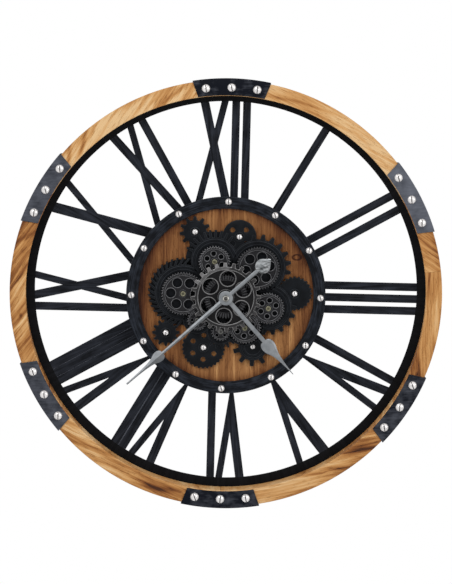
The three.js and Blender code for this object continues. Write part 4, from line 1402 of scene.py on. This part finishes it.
def build_wheel_tree():
    """Rim, web with holes, lips round the holes, a lip inside the rim and a hub."""
    graph, size = new_tree("toothed_wheel", WHEEL_INPUTS)
    bore = curve_circle(graph, size["Bore Radius"], BORE_POINTS)
    rim_inner = curve_circle(graph, size["Rim Inner Radius"], RIM_POINTS)
    rim = slab(graph, [tooth_curve(graph, size), rim_inner], size["Back"], size["Front"])

    hole_ring = {"Vertices": size["Holes"], "Radius": size["Hole Distance"]}
    spots = graph.node("GeometryNodeMeshCircle", {}, hole_ring)
    turn = graph.vector(0.0, 0.0, QUARTER_TURN - size["Hole Bearing"].math("RADIANS"))
    turned_spots = graph.node("GeometryNodeTransform", {}, {"Geometry": spots, "Rotation": turn})
    hole = curve_circle(graph, size["Hole Radius"], HOLE_POINTS)
    holes = graph.node("GeometryNodeInstanceOnPoints", {}, {"Points": turned_spots, "Instance": hole})
    cut_holes = graph.node("GeometryNodeRealizeInstances", {}, {"Geometry": holes})
    web_edge = curve_circle(graph, size["Rim Inner Radius"] + WEB_OVERLAP, RIM_POINTS)
    web = slab(graph, [web_edge, cut_holes, bore], size["Back"], size["Web Front"])

    lip_path = curve_circle(graph, size["Hole Radius"] + size["Lip"] * LIP_SPREAD, HOLE_POINTS)
    lip_section = curve_circle(graph, size["Lip"], LIP_POINTS)
    lip = graph.node("GeometryNodeCurveToMesh", {}, {"Curve": lip_path, "Profile Curve": lip_section})
    lips = graph.node("GeometryNodeInstanceOnPoints", {}, {"Points": turned_spots, "Instance": lip})
    lip_rings = moved(graph, lips, size["Web Front"])
    edge = graph.node("GeometryNodeCurveToMesh", {}, {"Curve": rim_inner, "Profile Curve": lip_section})
    edge_ring = moved(graph, edge, size["Front"] - size["Lip"])

    hub_edge = curve_circle(graph, size["Hub Radius"], HOLE_POINTS)
    hub = slab(graph, [hub_edge, bore], size["Web Front"] - HUB_OVERLAP, size["Front"])
    return close_tree(graph, [rim, web, lip_rings, edge_ring, hub], size["Material"])


def grown(tree, sizes, base=None):
    """Runs a tree on a mesh and returns the result as a mesh of its own."""
    holder = bpy.data.objects.new("holder", base or bpy.data.meshes.new("holder"))
    bpy.context.scene.collection.objects.link(holder)
    modifier = holder.modifiers.new("tree", "NODES")
    modifier.node_group = tree
    for item in tree.interface.items_tree:
        if item.in_out == "INPUT" and item.name in sizes:
            modifier[item.identifier] = sizes[item.name]
    view = bpy.context.evaluated_depsgraph_get()
    made = bpy.data.meshes.new_from_object(holder.evaluated_get(view))
    bpy.data.objects.remove(holder)
    bm = bmesh.new()
    bm.from_mesh(made)
    bpy.data.meshes.remove(made)
    return bm


wheel_tree = build_wheel_tree()
print("wheel tree has", len(wheel_tree.nodes), "nodes")

# %% [markdown]
# The gears are in true mesh: each tooth falls in a gap of the wheel that turns it. The bearing of a
# gear's first tooth therefore follows from its driver's, from the line between their centres and from
# their numbers of teeth.

# %% Teeth in mesh
MODULE_SIZE = 1.25
ADDENDUM = 0.85
DEDENDUM = 1.2
TOOTH_SHARE = 0.4
FLANK = 2 * math.tan(math.radians(20))
SUN_TEETH = 48
# Each gear: the wheel that turns it and its teeth.
TRAIN = {1: (SUN, 47), 2: (SUN, 34), 3: (SUN, 47), 4: (5, 34), 5: (SUN, 34), 6: (5, 20), 7: (1, 21)}


def tooth_bearing(number):
    """The bearing of a gear's first tooth, worked out along the train from the sun gear."""
    if number == SUN:
        return 0.0
    driver, teeth = TRAIN[number]
    driver_teeth = SUN_TEETH if driver == SUN else TRAIN[driver][1]
    line = CENTERS[number] - CENTERS[driver]
    bearing = math.degrees(math.atan2(line.x, line.y))
    return bearing + 180 + (bearing - tooth_bearing(driver)) * driver_teeth / teeth + 180 / teeth


def tooth_sizes(teeth):
    """The tooth's radii and its share of the pitch at root and tip."""
    pitch = teeth * MODULE_SIZE / 2
    tip = pitch + ADDENDUM * MODULE_SIZE
    root = pitch - DEDENDUM * MODULE_SIZE
    width = TOOTH_SHARE * math.pi * MODULE_SIZE
    tip_width = width - FLANK * (tip - pitch)
    root_width = width + FLANK * (pitch - root)
    return {
        "Teeth": teeth,
        "Root Radius": root,
        "Tip Radius": tip,
        "Root Share": root_width * teeth / (math.tau * root),
        "Tip Share": tip_width * teeth / (math.tau * tip),
    }


print("first teeth at", [round(tooth_bearing(number) % 360, 1) for number in TRAIN], "degrees")

# %% Rubbing and placing a wheel
SMALL_FACE = 4
TOOTH_FROM = 0.98


def paint_wheel(sizes, center, levels):
    """Rubs a wheel: each level is the shine of one kind of face. Small faces are edges and lips."""
    web_top = (sizes["Web Front"] + sizes["Front"]) / 2
    middle = Vector((*center, 0))

    def kind(face):
        outward = (face.center - middle).xy.length
        if face.normal.z < UPWARD:
            return "wall"
        if face.area < SMALL_FACE:
            return "tooth" if outward > TOOTH_FROM * sizes["Root Radius"] else "edge"
        if face.center.z < web_top:
            return "web"
        return "rim" if outward > sizes["Hub Radius"] else "hub"

    def paint(mesh):
        spots = [(vert.co - middle) / sizes["Root Radius"] for vert in mesh.vertices]
        flat = [value for spot in spots for value in (spot.x, spot.y, 0.0)]
        write_attribute(mesh, "shine", "FLOAT", "FACE", [levels[kind(face)] for face in mesh.polygons])
        write_attribute(mesh, "wheel", "FLOAT_VECTOR", "POINT", flat)

    return paint


def add_wheel(name, sizes, center, material, body, nodes, bevel, levels):
    """Grows one wheel, softens its edges and puts it in its place."""
    wheel = soften(grown(wheel_tree, sizes | {"Material": material}), bevel, 1)
    bmesh.ops.translate(wheel, verts=wheel.verts, vec=(*center, 0))
    paint = paint_wheel(sizes, center, levels)
    return add_piece(name, wheel, material, body, nodes, 35, paint)


print("a wheel shines on its teeth, edges and lips")

# %% Gears of the train
GEAR_BACK = 55
GEAR_WEB_FRONT = 58.6
GEAR_FRONT = 60
GEAR_EDGE = 0.3
GEAR_HUB_RADIUS = 5.6
LARGE_HOLES = {"Holes": 6, "Hole Radius": 6.6, "Hole Distance": 17.0, "Lip": 0.55}
SMALL_HOLES = {"Holes": 6, "Hole Radius": 3.4, "Hole Distance": 11.3, "Lip": 0.55}
PINION_HOLES = {"Holes": 4, "Hole Radius": 2.1, "Hole Distance": 7.4, "Lip": 0.3}
# Each number of teeth: the holes and the inside of the rim.
GEAR_FORMS = {
    47: LARGE_HOLES | {"Rim Inner Radius": 25.4},
    34: SMALL_HOLES | {"Rim Inner Radius": 17.6},
    20: PINION_HOLES | {"Rim Inner Radius": 10.2},
    21: PINION_HOLES | {"Rim Inner Radius": 10.6},
}
HOLE_BEARINGS = {1: 33.0, 2: -7.0, 3: 19.0, 4: 9.0, 5: 6.0, 6: 45.0, 7: 6.0}
GEAR_LEVELS = {"rim": 0.05, "hub": 0.06, "web": 0.035, "edge": 0.38, "wall": 0.01}
TOOTH_SHINE = {1: 0.32, 2: 1.0, 3: 0.14, 4: 0.42, 5: 0.42, 6: 0.42, 7: 1.2}
for number, (_, teeth) in TRAIN.items():
    sizes = tooth_sizes(teeth) | GEAR_FORMS[teeth]
    sizes |= {"Tooth Bearing": tooth_bearing(number), "Hole Bearing": HOLE_BEARINGS[number]}
    sizes |= {"Hub Radius": GEAR_HUB_RADIUS, "Bore Radius": PIN_HOLE}
    sizes |= {"Back": GEAR_BACK, "Web Front": GEAR_WEB_FRONT, "Front": GEAR_FRONT}
    node = f"train_gear_{number}"
    levels = GEAR_LEVELS | {"tooth": TOOTH_SHINE[number]}
    add_wheel(f"{node}_wheel", sizes, CENTERS[number], pewter, BODY_OF[node], [node], GEAR_EDGE, levels)
print(len(TRAIN), "train gears")

# %% [markdown]
# The sun gear drives them all and is seen only through the holes of the center wheel, which is larger,
# has square teeth and stands in front. Both turn together on the fixed bush in the middle.

# %% Sun gear and center wheel
WHEEL_BACK = 62.2
WHEEL_WEB_FRONT = 65.2
WHEEL_FRONT = 67.2
WHEEL_ROOT_RADIUS = 42.8
WHEEL_TIP_RADIUS = 48.8
WHEEL_TEETH = 24
WHEEL_EDGE = 0.5
SQUARE_TOOTH_ROOT = 5.6
SQUARE_TOOTH_TIP = 4.4

sun = tooth_sizes(SUN_TEETH) | {"Tooth Bearing": tooth_bearing(SUN), "Rim Inner Radius": 23.0}
sun |= {"Holes": 6, "Hole Radius": 2.0, "Hole Distance": 18.0, "Hole Bearing": 36.0, "Lip": 0.4}
sun |= {"Hub Radius": 10.7, "Bore Radius": BUSH_HOLE}
sun |= {"Back": GEAR_BACK, "Web Front": 57.5, "Front": GEAR_FRONT}
SUN_LEVELS = {"rim": 0.015, "hub": 0.03, "web": 0.01, "edge": 0.2, "tooth": 0.2, "wall": 0.01}
add_wheel("sun_gear_wheel", sun, (0, 0), pewter, "train", ["sun_gear"], GEAR_EDGE, SUN_LEVELS)

wheel = {
    "Teeth": WHEEL_TEETH,
    "Root Radius": WHEEL_ROOT_RADIUS,
    "Tip Radius": WHEEL_TIP_RADIUS,
    "Root Share": SQUARE_TOOTH_ROOT * WHEEL_TEETH / (math.tau * WHEEL_ROOT_RADIUS),
    "Tip Share": SQUARE_TOOTH_TIP * WHEEL_TEETH / (math.tau * WHEEL_TIP_RADIUS),
    "Tooth Bearing": -1.0,
    "Rim Inner Radius": 39.0,
    "Holes": 6,
    "Hole Radius": 10.4,
    "Hole Distance": 26.4,
    "Hole Bearing": 6.0,
    "Lip": 0.9,
    "Hub Radius": 11.5,
    "Bore Radius": BUSH_HOLE,
    "Back": WHEEL_BACK,
    "Web Front": WHEEL_WEB_FRONT,
    "Front": WHEEL_FRONT,
}
WHEEL_LEVELS = {"rim": 0.2, "hub": 0.05, "web": 0.015, "edge": 0.46, "tooth": 0.46, "wall": 0.01}
add_wheel(
    "center_wheel_toothed", wheel, (0, 0), wheel_pewter, "train", ["center_wheel"], WHEEL_EDGE, WHEEL_LEVELS
)
print("sun gear and center wheel")

# %% [markdown]
# A rib runs in from each tooth of the sun gear. They repeat round a circle, so a small tree puts a bar
# on every point of it and turns the bar along its radius.

# %% Ribs of the sun gear
RIB_INPUTS = {
    "Ribs": "NodeSocketInt",
    "Ring Radius": "NodeSocketFloat",
    "Rib Length": "NodeSocketFloat",
    "Rib Width": "NodeSocketFloat",
    "Rib Height": "NodeSocketFloat",
    "Back": "NodeSocketFloat",
    "Material": "NodeSocketMaterial",
}
RIB_SIZES = {
    "Ribs": SUN_TEETH,
    "Ring Radius": 26.6,
    "Rib Length": 6.0,
    "Rib Width": 1.5,
    "Rib Height": 0.8,
    "Back": GEAR_FRONT,
    "Material": pewter,
}
RIB_EDGE = 0.4
RIB_SHINE = 0.18


def build_rib_tree():
    """Bars on a circle, each along its radius."""
    graph, size = new_tree("ring_of_ribs", RIB_INPUTS)
    bar_size = graph.vector(size["Rib Length"], size["Rib Width"], size["Rib Height"])
    bar = graph.node("GeometryNodeMeshCube", {}, {"Size": bar_size})
    rib_ring = {"Vertices": size["Ribs"], "Radius": size["Ring Radius"]}
    spots = graph.node("GeometryNodeMeshCircle", {}, rib_ring)
    turn = graph.node("GeometryNodeInputIndex") / size["Ribs"] * math.tau
    bars = {"Points": spots, "Instance": bar, "Rotation": graph.vector(0.0, 0.0, turn)}
    placed = graph.node("GeometryNodeInstanceOnPoints", {}, bars)
    raised = moved(graph, placed, size["Back"] + size["Rib Height"] / 2)
    return close_tree(graph, [raised], size["Material"])


def paint_ribs(mesh):
    """The tops of the ribs shine."""
    shine = [RIB_SHINE if face.normal.z > UPWARD else 0.0 for face in mesh.polygons]
    write_attribute(mesh, "shine", "FLOAT", "FACE", shine)


ribs = soften(grown(build_rib_tree(), RIB_SIZES), RIB_EDGE, 1)
add_piece("sun_gear_ribs", ribs, pewter, "train", smooth=35, paint=paint_ribs)
print(SUN_TEETH, "ribs on the sun gear")

# %% [markdown]
# ## Pins, bush and shafts
#
# Each gear turns on a pin with an eyelet for a head: a rolled brass ring round a dark well. Two of them
# have gone grey. They are small turned pieces, so each is a profile swept round its own axis.

# %% Pins
PIN_RADIUS = 2.6
PIN_HEAD_RADIUS = 3.7
PIN_HEAD_BACK = 60.3
PIN_HEAD_FRONT = 61.7
PIN_WELL_RADIUS = 1.5
PIN_WELL_FLOOR = 60.6
PIN_ROLL = 0.65
ROLL_STEPS = 3
PIN_STEP = 12.0
PIN_WALL_UP = 0.2
WALL_SHINE = 0.2
WELL_SHINE = 0.3
WELL_DEPTH = 0.9
HEAD_SHINE = 0.62
PIN_GEARS = {f"gear_pin_{number}": number for number in (1, 2, 3, 4, 5, 7)} | {"drive_shaft": 6}
GREY_PINS = ("gear_pin_7", "drive_shaft")


def paint_turned(mesh):
    """Front faces and edges shine, and walls and wells are dull."""
    top = max(vert.co.z for vert in mesh.vertices)

    def level(face):
        if face.normal.z < PIN_WALL_UP:
            return WALL_SHINE
        return WELL_SHINE if top - face.center.z > WELL_DEPTH else HEAD_SHINE

    write_attribute(mesh, "shine", "FLOAT", "FACE", [level(face) for face in mesh.polygons])


def pin_profile(foot):
    """A pin's stem from its foot, with a rolled head round a shallow well."""
    head = [
        (PIN_WELL_RADIUS, PIN_HEAD_BACK),
        (PIN_HEAD_RADIUS, PIN_HEAD_BACK),
        (PIN_HEAD_RADIUS, PIN_HEAD_FRONT),
        (PIN_WELL_RADIUS, PIN_HEAD_FRONT),
    ]
    rolled = rounded(head, PIN_ROLL, ROLL_STEPS)[ROLL_STEPS + 1 :]
    stem = [(0.0, foot), (PIN_RADIUS, foot), (PIN_RADIUS, PIN_HEAD_BACK)]
    return stem + rolled + [(PIN_WELL_RADIUS, PIN_WELL_FLOOR), (0.0, PIN_WELL_FLOOR)]


for node, number in PIN_GEARS.items():
    foot = min((TO_DIAL @ corner).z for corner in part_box(node))
    pin = turned(pin_profile(foot), step=PIN_STEP)
    bmesh.ops.translate(pin, verts=pin.verts, vec=(*CENTERS[number], 0))
    finish = dull_brass if node in GREY_PINS else brass
    add_piece(f"{node}_eyelet", pin, finish, BODY_OF[node], [node], 50, paint_turned)
print(len(PIN_GEARS), "pins")

# %% [markdown]
# The bush and the shafts of the hands stand one inside the other, and a nut closes them. They keep the
# model's shapes. The nut is turned on its front, and such fine rings throw the light to two sides, so
# its colour carries a painted glint that follows the direction from the middle. The end of the shaft in
# it stays dark.

# %% Bush, shafts and nut
SHAFT_EDGE = 0.2
SHAFT_END_SHINE = 0.1
# Painted glint on the nut: its dull level, and how much brighter it is painted to the left and right.
NUT_DULL = 0.3
NUT_PAINTED_GLINT = 0.75


def paint_nut(mesh):
    """Painted glint: brighter to the left and right of the nut's middle, and duller above and below it."""

    def level(face):
        across = Vector(face.center[:2]).normalized().x
        return NUT_DULL + NUT_PAINTED_GLINT * across**4

    write_attribute(mesh, "shine", "FLOAT", "FACE", [level(face) for face in mesh.polygons])


def paint_shaft_end(mesh):
    """One low shine all over."""
    write_attribute(mesh, "shine", "FLOAT", "FACE", [SHAFT_END_SHINE] * len(mesh.polygons))


SHAFTS = {
    "center_bush": (brass, "brass", paint_turned),
    "hour_tube": (brass, "brass", paint_turned),
    "minute_arbor": (turned_steel, "silver", paint_shaft_end),
    "hand_nut": (nut_brass, "brass", paint_nut),
}
for node, (finish, slot, paint) in SHAFTS.items():
    fitting = soften(solid_copy(node), SHAFT_EDGE, 2, 50)
    add_piece(f"{node}_turned", fitting, finish, BODY_OF[node], [node], 50, paint)
print(len(SHAFTS), "turned pieces on the axis")

# %% [markdown]
# ## The hands
#
# The hands are stamped from thin sheet into spades. The hour hand is flat. The minute hand has a ridge
# down its middle, which splits the light into two facets, and its tail ends in a drop that is beaten
# with a round hammer. Each is a loft: at every station along the hand a section with a raised middle.
# Bump alone would leave the drop smooth in the mesh, so its dents are beaten into the vertices, one
# round each point of a scattered pattern.
# The minute hand's two slopes and the dents of its drop also get painted light and shade: lighter on one side and
# darker on the other.

# %% Outlines of the hands
HOUR_HAND = {"stem": 6.4, "neck": 5.8, "bulb": 90, "half": 9.6, "tip": 142, "end": 0.8}
MINUTE_HAND = {"stem": 6.2, "neck": 3.8, "bulb": 124, "half": 7.8, "tip": 182.5, "end": 2.4}
TAIL = {"stem": 5.6, "bulb": 68, "half": 10.4, "tip": 83, "end": 0.8}
HAND_ROOT = 6.0
BULB_ROWS = 12
TIP_ROWS = 14
DROP_ROWS = 26
POINT_ROWS = 12
DROP_SHOULDER = math.radians(120)
# The curve of a spade's bulb: how wide it bulges and how wide its shoulder is, of its half width.
BULGE = 1.25
SHOULDER = 0.7


def curve_points(controls, count):
    """Points on a cubic curve."""
    return geometry.interpolate_bezier(*[Vector(control) for control in controls], count)


def spade_stations(hand):
    """Half widths along a spade hand: a straight stem, a round bulb and a long hollow point."""
    neck = Vector((hand["neck"] / 2, hand["bulb"] - hand["half"]))
    shoulder = Vector((SHOULDER * hand["half"], hand["bulb"] + hand["half"]))
    hollow = Vector((hand["neck"] / 3, hand["bulb"] + 2 * hand["half"]))
    tip = Vector((hand["end"] / 2, hand["tip"]))
    bulge = [(hand["half"], neck.y), (BULGE * hand["half"], hand["bulb"])]
    bulb = curve_points([neck, *bulge, shoulder], BULB_ROWS)
    point = curve_points([shoulder, shoulder.lerp(hollow, 2 / 3), tip.lerp(hollow, 2 / 3), tip], TIP_ROWS)
    return [Vector((hand["stem"] / 2, HAND_ROOT))] + bulb + point[1:]


def drop_stations(tail):
    """Half widths along the drop: a round from the stem and a blunt point."""
    opening = math.asin(tail["stem"] / 2 / tail["half"])
    middle = Vector((0, tail["bulb"]))
    drop = []
    for step in range(DROP_ROWS + 1):
        turn = opening + (DROP_SHOULDER - opening) * step / DROP_ROWS
        drop.append(middle + tail["half"] * Vector((math.sin(turn), -math.cos(turn))))
    tip = Vector((tail["end"] / 2, tail["tip"]))
    return drop + [drop[-1].lerp(tip, step / POINT_ROWS) for step in range(1, POINT_ROWS + 1)]


print(len(spade_stations(MINUTE_HAND)), "stations along a spade,", len(drop_stations(TAIL)), "along the drop")

# %% Lofting and beating sheet
HAND_SHEET = 1.4
HAND_EDGE = 0.5
HAND_HUB_RADIUS = 9.8
HUB_ROUNDING = 0.35
HUB_RISE = 0.1
SHARP_RIDGE = 1
DOME = 2
FLAT_CROWN = 8
DENT_SPACING = 4.6
DENT_DEPTH = 0.8


def ridged(stations, back, crown, across=8):
    """A loft along stations with a raised middle, from a sharp ridge to a nearly flat crown."""
    rings = []
    for half, along in stations:
        ring = [(-half, along, back), (half, along, back)]
        for step in range(across + 1):
            side = 1 - 2 * step / across
            rise = HAND_EDGE + (HAND_SHEET - HUB_RISE - HAND_EDGE) * (1 - abs(side) ** crown)
            ring.append((side * half, along, back + rise))
        rings.append(ring)
    return loft(rings, False)


def hammered(bm, back):
    """Beats round dents into the front of a mesh, deepest where it is highest."""
    for vert in bm.verts:
        rise = max(vert.co.z - back - HAND_EDGE, 0) / (HAND_SHEET - HAND_EDGE)
        nearest = noise.voronoi(Vector((*vert.co.xy, 0)) / DENT_SPACING)[0][0]
        vert.co.z -= DENT_DEPTH * rise * max(1 - nearest, 0)
    return bm


def hub_disc(back, bore):
    """The round middle of a hand."""
    front = back + HAND_SHEET
    corners = [(bore, back), (HAND_HUB_RADIUS, back), (HAND_HUB_RADIUS, front), (bore, front)]
    return turned(rounded(corners, HUB_ROUNDING, 2), step=6.0)


def aimed(bm, bearing):
    """Turns a hand that points at twelve to its bearing."""
    bm.transform(Matrix.Rotation(math.radians(-bearing), 4, "Z"))
    return bm


print("sheet can be ridged, beaten and aimed")

# %% Hands
HOUR_BEARING = 139.05
HOUR_BACK = 69.6
HOUR_BORE = 4.9
MINUTE_BEARING = 228.7
MINUTE_BACK = 73
MINUTE_BORE = 2.7
FRONT_SLOPE = 0.5
LEVEL_SLOPE = 0.03
DROP_COLUMNS = 26
DENT_LIGHT_GAIN = 8.0
HAND_SMOOTH = 12


def paint_facet_light(mesh):
    """Painted light and shade on the two slopes of the minute hand: 1 on the side that follows twelve, painted
    lighter, and -1 on the other, painted darker.
    """
    across = Vector((*polar(MINUTE_BEARING + 90, 1), 0))
    slopes = [face.normal.dot(across) if face.normal.z > FRONT_SLOPE else 0 for face in mesh.polygons]
    facets = [math.copysign(1, slope) if abs(slope) > LEVEL_SLOPE else 0.0 for slope in slopes]
    write_attribute(mesh, "facet", "FLOAT", "FACE", facets)


def paint_dent_light(mesh):
    """Painted light and shade: the walls of the dents that look up are painted lighter, and those that look down
    darker.
    """
    slopes = [face.normal.y * DENT_LIGHT_GAIN for face in mesh.polygons]
    write_attribute(mesh, "facet", "FLOAT", "FACE", [max(-1.0, min(slope, 1.0)) for slope in slopes])


hour_leaf = aimed(ridged(spade_stations(HOUR_HAND), HOUR_BACK, FLAT_CROWN), HOUR_BEARING)
hour_hand = joined([hour_leaf, hub_disc(HOUR_BACK, HOUR_BORE)])
add_piece("hour_hand_spade", hour_hand, silver, "hour", ["hour_hand"], HAND_SMOOTH)

tail_bearing = MINUTE_BEARING + 180
drop_outline = drop_stations(TAIL)
stem_outline = [Vector((TAIL["stem"] / 2, HAND_ROOT)), drop_outline[0]]
minute_leaf = aimed(ridged(spade_stations(MINUTE_HAND), MINUTE_BACK, SHARP_RIDGE), MINUTE_BEARING)
tail_stem = aimed(ridged(stem_outline, MINUTE_BACK, FLAT_CROWN), tail_bearing)
minute_hand = joined([minute_leaf, tail_stem, hub_disc(MINUTE_BACK, MINUTE_BORE)])
add_piece(
    "minute_hand_spade", minute_hand, silver, "minute", ["minute_hand"], HAND_SMOOTH, paint_facet_light
)
domed_drop = ridged(drop_outline, MINUTE_BACK, DOME, DROP_COLUMNS)
drop = aimed(hammered(domed_drop, MINUTE_BACK), tail_bearing)
add_piece("minute_hand_drop", drop, hammered_silver, "minute", [], HAND_SMOOTH, paint_dent_light)
print("two hands and a drop")

# %% [markdown]
# ## Screws
#
# Slotted screws hold the straps, the bezel and the bed. They repeat, so a third tree makes a domed
# head with a slot and puts one on every point of a mesh. Each point carries the angle of its slot,
# because no two screws stop at the same turn.

# %% A tree for slotted screws
SCREW_INPUTS = {
    "Head Radius": "NodeSocketFloat",
    "Dome": "NodeSocketFloat",
    "Slot Width": "NodeSocketFloat",
    "Slot Depth": "NodeSocketFloat",
    "Material": "NodeSocketMaterial",
}
HEAD_SEGMENTS = 28
HEAD_RINGS = 14
SLOT_LENGTH = 3


def build_screw_tree():
    """A domed head with a slot on every point of the mesh that the tree runs on."""
    graph, size = new_tree("slotted_screw", SCREW_INPUTS, with_geometry=True)
    round_head = {"Segments": HEAD_SEGMENTS, "Rings": HEAD_RINGS, "Radius": size["Head Radius"]}
    ball = graph.node("GeometryNodeMeshUVSphere", {}, round_head)
    squash = graph.vector(1.0, 1.0, size["Dome"] / size["Head Radius"])
    dome = graph.node("GeometryNodeTransform", {}, {"Geometry": ball, "Scale": squash})
    slot_size = graph.vector(size["Head Radius"] * SLOT_LENGTH, size["Slot Width"], size["Slot Depth"] * 2)
    bar = graph.node("GeometryNodeMeshCube", {}, {"Size": slot_size})
    cut = {"Mesh 1": dome, "Mesh 2": moved(graph, bar, size["Dome"])}
    head = graph.node("GeometryNodeMeshBoolean", {"operation": "DIFFERENCE"}, cut)
    slot_turn = graph.node("GeometryNodeInputNamedAttribute", {"data_type": "FLOAT"}, {"Name": "turn"})
    spin = graph.vector(0.0, 0.0, slot_turn)
    heads = {"Points": size["Geometry"], "Instance": head, "Rotation": spin}
    placed = graph.node("GeometryNodeInstanceOnPoints", {}, heads)
    return close_tree(graph, [placed], size["Material"])


screw_tree = build_screw_tree()
print("screw tree has", len(screw_tree.nodes), "nodes")

# %% Screws in their places
SLOT_TURN = math.radians(97)
SLOT_SPREAD = math.radians(12)
SLOT_STEP = 2.4
STRAP_SCREW_RADIUS = 289
STRAP_SCREW_SPREAD = 7.05
BEZEL_SCREW_RADIUS = 131
BEZEL_SCREW_BEARINGS = [1.6, 31.4, 61.5, 91.8, 122.6, 151.5, 182.8, 212.1, 240.6, 270.1, 300.2, 330.2]
EAR_SCREWS = [ear[0] for ear in BED_EARS] + [ROUND_EAR]
DISC_SCREWS = [CENTERS[PLAIN_COG]]
STRAP_SCREW = {"Head Radius": 5.9, "Dome": 3.6, "Slot Width": 1.3, "Slot Depth": 1.8}
BEZEL_SCREW = {"Head Radius": 4.6, "Dome": 3.2, "Slot Width": 1.2, "Slot Depth": 1.6}
EAR_SCREW = {"Head Radius": 4.0, "Dome": 2.8, "Slot Width": 0.8, "Slot Depth": 1.4}
DISC_SCREW = {"Head Radius": 3.4, "Dome": 2.4, "Slot Width": 0.8, "Slot Depth": 1.2}
DOME_FACE = 1.5
DOME_UP = 0.05


def paint_screw(mesh):
    """Domes shine, and the slots and undersides are painted dark: painted shade."""
    domed = [face.area < DOME_FACE and face.normal.z > DOME_UP for face in mesh.polygons]
    write_attribute(mesh, "shine", "FLOAT", "FACE", [float(shines) for shines in domed])


def add_screws(name, spots, height, sizes):
    """Screw heads on dial points at one height."""
    base = bpy.data.meshes.new(f"{name}_spots")
    base.from_pydata([(x, y, height) for x, y in spots], [], [])
    turns = [SLOT_TURN + SLOT_SPREAD * math.sin(index * SLOT_STEP) for index in range(len(spots))]
    write_attribute(base, "turn", "FLOAT", "POINT", turns)
    heads = grown(screw_tree, sizes | {"Material": screw_steel}, base)
    add_piece(name, heads, screw_steel, "frame", smooth=40, paint=paint_screw)


strap_spots = [
    polar(bearing + offset, STRAP_SCREW_RADIUS)
    for bearing in STRAP_BEARINGS
    for offset in (-STRAP_SCREW_SPREAD, 0, STRAP_SCREW_SPREAD)
]
bezel_spots = [polar(bearing, BEZEL_SCREW_RADIUS) for bearing in BEZEL_SCREW_BEARINGS]
add_screws("strap_screws", strap_spots, STRAP_FRONT, STRAP_SCREW)
add_screws("bezel_screws", bezel_spots, BEZEL_FRONT, BEZEL_SCREW)
add_screws("ear_screws", EAR_SCREWS, BED_EAR_FRONT, EAR_SCREW)
add_screws("disc_screws", DISC_SCREWS, BED_DISC_FRONT - DISC_GROOVE, DISC_SCREW)
bed_screws = len(EAR_SCREWS) + len(DISC_SCREWS)
print(len(strap_spots), "strap,", len(bezel_spots), "bezel and", bed_screws, "bed screws")

# %% [markdown]
# ## Behind the dial
#
# Inside the drum are the quartz movement, the motor box that turns the gears, their cells, a setting
# knob, a switch and the hanger plate. They keep the model's shapes, with softened edges. The hanger is
# sheet with a keyhole, so it is cut again from its outline as the numerals are.

# %% Movement, drive and hanger
HANGER_EDGE = 0.3
HANGER_TONE = 0.2
CELL_END = 0.9


def cell_finish(name):
    """A battery with a plain wrap and bright metal ends."""
    finish = Finish(name, specular_ior_level=0.4)
    clouds = finish.noise(finish.place, 90.0, 3.0)
    shine = finish.attribute("shine")
    wrap = finish.mix(((clouds - 0.3) * 2).clamped(), shade(40, 64, 92), shade(56, 84, 116))
    finish.set("Base Color", finish.mix(shine, wrap, shade(190, 190, 192)))
    finish.set("Metallic", shine * 0.9)
    finish.set("Roughness", 0.4 - shine * 0.12)
    return finish.material


def paint_cell(mesh):
    """The round wall is wrapped, and the flat ends are bare."""
    bare = [float(abs(face.normal.x) > CELL_END) for face in mesh.polygons]
    write_attribute(mesh, "shine", "FLOAT", "FACE", bare)


cell_wrap = cell_finish("cell_wrap")
# Each piece: finish, slot, rounding of its edges and paint.
HIDDEN = {
    "movement_case": (black_plastic, "black_plastic", 0.8, None),
    "drive_case": (black_plastic, "black_plastic", 0.8, None),
    "setting_knob": (grey_plastic, "black_plastic", 0.25, None),
    "drive_switch": (grey_plastic, "black_plastic", 0.4, None),
    "movement_cell": (cell_wrap, "cell_wrap", 0.3, paint_cell),
    "drive_cell": (cell_wrap, "cell_wrap", 0.3, paint_cell),
}
for node, (finish, slot, rounding, paint) in HIDDEN.items():
    soft = soften(solid_copy(node), rounding)
    add_piece(f"{node}_soft", soft, finish, BODY_OF[node], [node], paint=paint)
hanger_back, hanger_front = sorted((TO_DIAL @ corner).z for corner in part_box("hanger_plate"))
hanger = cut_sheet(outlines("hanger_plate"), hanger_back, hanger_front, HANGER_EDGE)
tone = paint_tone(HANGER_TONE)
add_piece("hanger_plate_cut", hanger, strap_steel, "frame", ["hanger_plate"], paint=tone)
print(len(HIDDEN) + 1, "pieces behind the dial")
